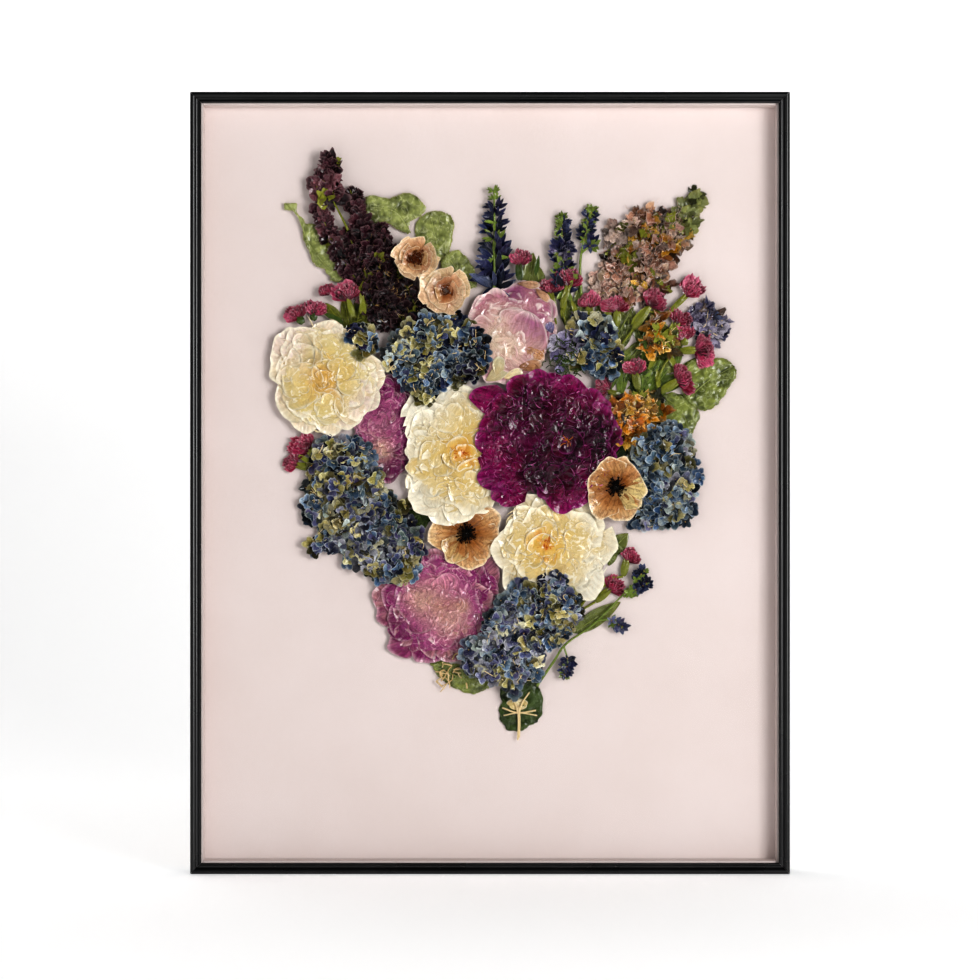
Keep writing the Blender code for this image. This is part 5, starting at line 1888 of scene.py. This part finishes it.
            flowers=(Carnation((10, 4), 125, 12, 1.5, 5), Carnation((21, 6), 80, 12, 1.4, 4)),
            leaves=((44, 1, 155, 18),), calyx_finish=BOTTLE),
        CarnationSpray(
            "carnation_left_lower", heart=(12, 16),
            flowers=(Carnation((22, 16), 140, 16, 1.0, 12, ((34, 2),)),
                     Carnation((14, 6), 165, 12, 1.1, 12, ((30, -2),))),
            leaves=((26, 6, 150, 16), (28, 10, 120, 16))),
        CarnationSpray(
            "carnation_middle", heart=(12, 14),
            flowers=(Carnation((12, 10), 90, 12, 1.2, 12),),
            leaves=((24, 2, 80, 16),), calyx_finish=BOTTLE),
        CarnationSpray(
            "carnation_spray_upper", heart=(60, 30),
            flowers=(
                Carnation((4, 44), 100, 12, 1.2, 16, ((8, 20),)),
                Carnation((17, 50), 75, 13, 1.2, 18, ((16, 20),)),
                Carnation((34, 33), 90, 13, 1.2, 14, ((38, 8),)),
                Carnation((55, 30), 90, 13, 1.3, 12, ((56, 2),)),
                Carnation((80, 34), 55, 14, 1.2, 22, ((58, 4),)),
                Carnation((108, 42), 45, 15, 1.0, 20, ((80, 30),)),
                Carnation((102, 20), 60, 12, 1.2, 10, ((90, 2),))),
            leaves=((12, 26, 75, 16), (26, 22, 110, 18), (44, 12, 70, 20), (66, 20, 50, 18),
                    (48, 22, 95, 16), (30, 24, 60, 14))),
        CarnationSpray(
            "carnation_spray_right", heart=(45, 30),
            flowers=(
                Carnation((72, 34), 0, 15, 1.3, 12, ((50, 26), (42, 10))),
                Carnation((64, 42), 100, 12, 1.2, 4),
                Carnation((26, 16), 100, 12, 1.3, 12, ((32, -6),)),
                Carnation((6, 4), 150, 12, 1.3, 10, ((22, -8),)),
                Carnation((58, 10), 30, 13, 1.1, 16, ((34, -4),))),
            leaves=((44, 4, 95, 16), (58, 20, 120, 18), (36, 20, 60, 18), (54, 38, 75, 18))),
        CarnationSpray(
            "carnation_spray_foot", heart=(30, 20),
            flowers=(Carnation((40, 35), 70, 11, 1.2, 12, ((20, 20), (2, 0))),
                     Carnation((25, 13), 40, 12, 1.2, 14, ((4, -2),))),
            leaves=((14, 12, 40, 16),)),
        FloretHead(
            "blossom_orange_upper", "petal_orange", ORANGE,
            kind=replace(CRUMPLED, length=(6, 9.5)), heart=(17, 16), spacing=8.5, margin=3.0,
            accents=((OLIVE, 0.2), (BOTTLE, 0.15)), tones=(0.4, 0.9), stalks=12, bedded=False),
        FloretHead(
            "blossom_orange_lower", "petal_orange", ORANGE, relief=2.3,
            kind=replace(CRUMPLED, length=(6, 10)), heart=(20, 22), spacing=8.5, margin=3.2,
            accents=((OLIVE, 0.12), (BOTTLE, 0.1)), tones=(0.45, 1.0), stalks=12,
            bedded=False),
        FloretHead(
            "scabiosa_lilac", "petal_lilac", LILAC,
            kind=replace(CRUMPLED, length=(5, 8)), heart=(14, 16), spacing=6.5, margin=2.0,
            accents=((BEIGE, 0.25), (NAVY, 0.1)), tones=(0.5, 1.1), stalks=10, bedded=False),
        SpikeBunch(
            "twig_lower", "leaf_green", NAVY,
            sprigs=(
                Sprig(((3, 1), (16, 20), (26, 34), (47, 49), (71, 73), (80, 81)), stem=1.0),
                *(Sprig(path, stem, girth, bare, 3.2, BUDLET, finish, leafy, tip=2)
                  for path, stem, girth, bare, finish, leafy in (
                      (((70, 70), (80, 76), (90, 81)), 0.8, (7, 6), 0.2, NAVY, 0.5),
                      (((78, 80), (84, 88), (88, 92)), 0.7, (6, 5), 0.2, NAVY, 0.4),
                      (((50, 52), (60, 52), (70, 46)), 0.8, (8, 7), 0.5, VIOLET, 0.1),
                      (((24, 32), (27, 20), (24, 8)), 0.7, (8, 7), 0.4, NAVY, 0.1))))),
        PressedLeaf("leaf_sprig_left",
                    rib=((4, 62), (13, 52), (22, 30), (40, 8)),
                    patches=(Patch(8, 60, 10, tone=0.5),)),
        *(PressedLeaf(node, slot, finish, rib=rib) for node, slot, finish, rib in (
            ("leaf_upper_left", "leaf_green", SAGE, ((36, 2), (24, 18), (4, 22))),
            ("leaf_upper_middle", "leaf_green", SAGE, ((22, 2), (18, 20), (14, 38))),
            ("leaf_upper_right", "leaf_green", SAGE, ((6, 28), (16, 14), (30, 2))),
            ("leaf_right_upper", "leaf_green", MOSS, ((6, 10), (22, 24), (42, 36))),
            ("leaf_right_lower", "leaf_green", MOSS, ((4, 34), (18, 22), (26, 2))),
            ("leaf_foot", "leaf_dark", BOTTLE, ((18, 2), (17, 20), (18, 40))),
            ("leaf_foot_left", "leaf_dark", MOSS, ((2, 24), (24, 14), (48, 8))))),
        Foliage("carnation_spray_upper", "leaf_green", MOSS, extra="greens_upper_right",
                blades=((-14, 44, 82, 32, 12), (-3, 42, 100, 26, 11), (15, 24, 85, 26, 9),
                        (23, 20, 70, 24, 8), (8, 26, 118, 20, 8), (45, 8, 100, 28, 9),
                        (52, 6, 60, 32, 9), (60, 2, 78, 30, 9), (66, -6, 50, 32, 10),
                        (77, 2, 112, 26, 9), (88, 10, 20, 26, 10), (72, -10, -8, 32, 12),
                        (97, -2, 60, 24, 10), (54, -12, 40, 30, 9), (84, -4, 130, 24, 9)),
                tufts=((54, 6, 14, 12, 80), (80, 6, 16, 14, 60), (24, 24, 10, 7, 85))),
        Foliage("carnation_spray_right", "leaf_green", STEM, extra="greens_right",
                blades=((6, 0, 100, 36, 10), (14, -2, 82, 38, 9), (24, -2, 45, 34, 12),
                        (38, 4, 20, 32, 13), (30, -14, 68, 36, 12), (48, -12, 108, 32, 12),
                        (40, 18, 150, 24, 10), (12, 24, 118, 26, 9), (4, 14, 60, 26, 8)),
                tufts=((20, 12, 16, 14, 70), (44, 16, 16, 14, 50))),
        Foliage("carnation_left_upper", "leaf_green", OLIVE, extra="greens_left",
                blades=((20, -8, 100, 24, 9), (26, -8, 82, 30, 10), (32, -8, 72, 26, 10),
                        (14, -6, 128, 20, 9), (38, -10, 60, 22, 10), (10, -10, 20, 24, 9))),
        Foliage("poppy_left", "leaf_dark", BOTTLE, extra="dark_leaves_middle",
                blades=((-22, 26, 40, 34, 20), (-16, 16, 68, 30, 16), (-10, 40, 20, 26, 14))),
        Foliage("rose_cream_lower", "leaf_green", MOSS, extra="greens_lower",
                blades=((0, 14, 95, 26, 10), (88, 38, 45, 24, 14), (62, -22, 33, 44, 13),
                        (54, -10, 48, 30, 12), (90, 30, 75, 22, 9))),
        Foliage("blossom_orange_lower", "leaf_dark", BOTTLE, extra="dark_leaves_right",
                blades=((2, -12, 62, 28, 14), (34, 2, 70, 30, 14), (20, 38, 80, 30, 14))),
        Foliage("leaf_foot", "petal_cream", CREAM, extra="straw_at_the_foot", lift=1.2,
                even=0.7, thick=0.6, ribbed=False,
                blades=((17, 17, 90, 9, 16), (17, 17, 60, 8, 9), (17, 17, 120, 8, 9)),
                straws=(((17, -6), (17.5, 8), (17, 20)), ((18, -4), (18.5, 8), (18, 20)),
                        ((5, 19), (17, 15), (31, 17)), ((6, 13), (18, 15), (32, 13)),
                        ((9, 30), (15, 22), (17, 14)), ((26, 31), (20, 22), (18, 14)))),
        Foliage("leaf_foot_left", "petal_cream", STRAW, extra="straw_bits_at_the_foot",
                lift=3.5, threads=((16, 16, 9, 22),), thick=0.9),
        Foliage("stock_spike", "leaf_green", STRAW, extra="stock_filaments", lift=6.0,
                even=-0.6, thick=0.3, threads=((60, 24, 14, 44), (48, 46, 12, 22),
                                               (70, 12, 10, 20))),
        Foliage("plume_rose", "petal_beige", BEIGE, extra="plume_filaments", lift=2.5,
                even=0.9, thick=0.34, threads=((40, 36, 22, 90), (22, 18, 16, 40),
                                               (64, 62, 14, 30))),
        Foliage("hydrangea_upper_right", "petal_lilac", LILAC, extra="pale_lilac_flower",
                lift=8.2, even=0.9, ribbed=False,
                blades=((-4, 24, 20, 11, 9), (-4, 24, 75, 12, 9), (-4, 24, 130, 11, 8),
                        (-4, 24, 185, 10, 8), (-4, 22, 240, 11, 9), (-4, 22, 300, 12, 9),
                        (-2, 12, 250, 10, 8), (-10, 34, 110, 9, 7))),
        Foliage("hydrangea_upper_right", "leaf_dark", BOTTLE, extra="dark_filaments",
                lift=9.0, threads=((-2, 20, 9, 34), (4, 6, 9, 24), (-8, 4, 9, 12)), thick=0.7),
        Foliage("peony_pink", "petal_pink", RUST, extra="browned_peony_petals", lift=8.4,
                even=0.5, ribbed=False,
                blades=((38, 75, -5, 18, 6), (52, 71, -42, 15, 6), (44, 26, -35, 18, 10),
                        (58, 32, -110, 20, 9), (38, 10, 10, 20, 9), (50, 14, -70, 14, 8))),
        Foliage("peony_pink", "petal_cream", CREAM, extra="rolled_petals_at_the_peony",
                lift=8.4, even=1.0, ribbed=False,
                blades=((6, 2, 62, 18, 11), (14, 0, 34, 20, 11), (22, 4, 80, 15, 10),
                        (28, 2, 20, 15, 9))),
    ]


# --------------------------------------------------------------- frame and studio


@dataclass
class FrameFinish:
    """Gives the CAD pieces of the frame their real finishes."""

    rails: tuple[str, ...] = ("rail_top", "rail_bottom", "rail_left", "rail_right")
    card: tuple[str, ...] = ("mount_board", "spacer_top", "spacer_bottom", "spacer_left",
                             "spacer_right")
    metal: tuple[str, ...] = ("tab_1", "tab_2", "tab_3", "tab_4", "tab_5", "tab_6",
                              "hanger_left", "hanger_right")

    def dress(self) -> None:
        """Assigns the materials to the nodes' slots."""
        groups = (
            (self.rails, Lacquer()), (self.card, MountCard()), (("glazing",), PaneGlass()),
            (("back_panel",), Hardboard()), (self.metal, ZincPlate()))
        for names, finish in groups:
            material = finish.dress()
            for name in names:
                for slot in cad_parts[name].material_slots:
                    slot.material = material
                log.info("%s: %s", name, finish.name)


@dataclass
class Studio:
    """White sweep, level camera and lamps. Lengths are in metres.

    A soft key comes from the right, a broad fill and a small lamp for glints from the
    left, and a wash whitens the backdrop behind the frame.
    """


    sweep_width: float = 9.0
    sweep_front: float = -5.0
    sweep_back: float = 1.6
    sweep_top: float = 4.5
    bend: float = 1.0
    bend_steps: int = 16
    floor_gap: float = 0.3 * MM
    sky: float = 0.07
    lamps: tuple[tuple[str, float, float, tuple[float, float, float]], ...] = (
        # name, power in watts, side in metres, place
        ("key", 35.5, 1.0, (1.35, -2.2, 0.52)),
        ("fill", 6.0, 1.8, (-1.8, -2.2, 1.2)),
        ("sparkle", 2.4, 0.16, (-0.8, -2.2, 0.9)),
        ("wash", 2.6, 1.2, (-0.9, 0.7, 1.5)),
    )
    aim: tuple[float, float, float] = (0.0, 0.0, 0.3)
    lens: float = 100.0
    sensor: float = 36.0
    distance: float = 2.103
    eye_height: float = 0.2946

    def build(self) -> None:
        """Builds the sweep, the lights and the camera."""
        self.add_sweep()
        self.add_lights()
        self.add_camera()

    def add_sweep(self) -> None:
        """Adds the floor that curves up into the backdrop."""
        profile = [(self.sweep_front, 0.0), (0.0, 0.0), (self.sweep_back - self.bend, 0.0)]
        for angle in np.linspace(0, math.pi / 2, self.bend_steps + 1)[1:]:
            profile.append((self.sweep_back - self.bend + self.bend * math.sin(angle),
                            self.bend * (1 - math.cos(angle))))
        profile.append((self.sweep_back, self.sweep_top))
        half = self.sweep_width / 2
        points = [(x, y, z - self.floor_gap) for y, z in profile for x in (-half, half)]
        faces = [(2 * i, 2 * i + 1, 2 * i + 3, 2 * i + 2) for i in range(len(profile) - 1)]
        mesh = bpy.data.meshes.new("sweep")
        mesh.from_pydata(points, [], faces)
        mesh.shade_smooth()
        mesh.materials.append(StageSweep().dress())
        sweep = bpy.data.objects.new("sweep", mesh)
        bpy.context.scene.collection.objects.link(sweep)

    def add_lights(self) -> None:
        """Adds the lamps, each turned to the frame's middle, and the dim sky."""
        for name, power, side, place in self.lamps:
            light = bpy.data.lights.new(name, "AREA")
            light.shape = "SQUARE"
            light.size = side
            light.energy = power
            lamp = bpy.data.objects.new(name, light)
            lamp.location = place
            aim = Vector(self.aim) - lamp.location
            lamp.rotation_euler = aim.to_track_quat("-Z", "Y").to_euler()
            bpy.context.scene.collection.objects.link(lamp)
        world = bpy.data.worlds.new("sky")
        world.use_nodes = True
        sky = world.node_tree.nodes["Background"]
        sky.inputs["Color"].default_value = linear("#FEFEFF")
        sky.inputs["Strength"].default_value = self.sky
        bpy.context.scene.world = world
        bpy.context.scene.view_settings.view_transform = "Standard"
        bpy.context.scene.view_settings.look = "High Contrast"

    def add_camera(self) -> None:
        """Adds the camera, level and square to the frame."""
        lens = bpy.data.cameras.new("camera")
        lens.lens = self.lens
        lens.sensor_width = self.sensor
        camera = bpy.data.objects.new("camera", lens)
        camera.location = (0.0, -self.distance, self.eye_height)
        camera.rotation_euler = (math.pi / 2, 0.0, 0.0)
        bpy.context.scene.collection.objects.link(camera)
        bpy.context.scene.camera = camera


def main() -> None:
    """Builds the object and the studio."""
    logging.basicConfig(level=logging.INFO, format="%(name)s: %(message)s")
    FrameFinish().dress()
    for specimen in specimens():
        specimen.build()
    Studio().build()


if __name__ == "__main__":
    main()
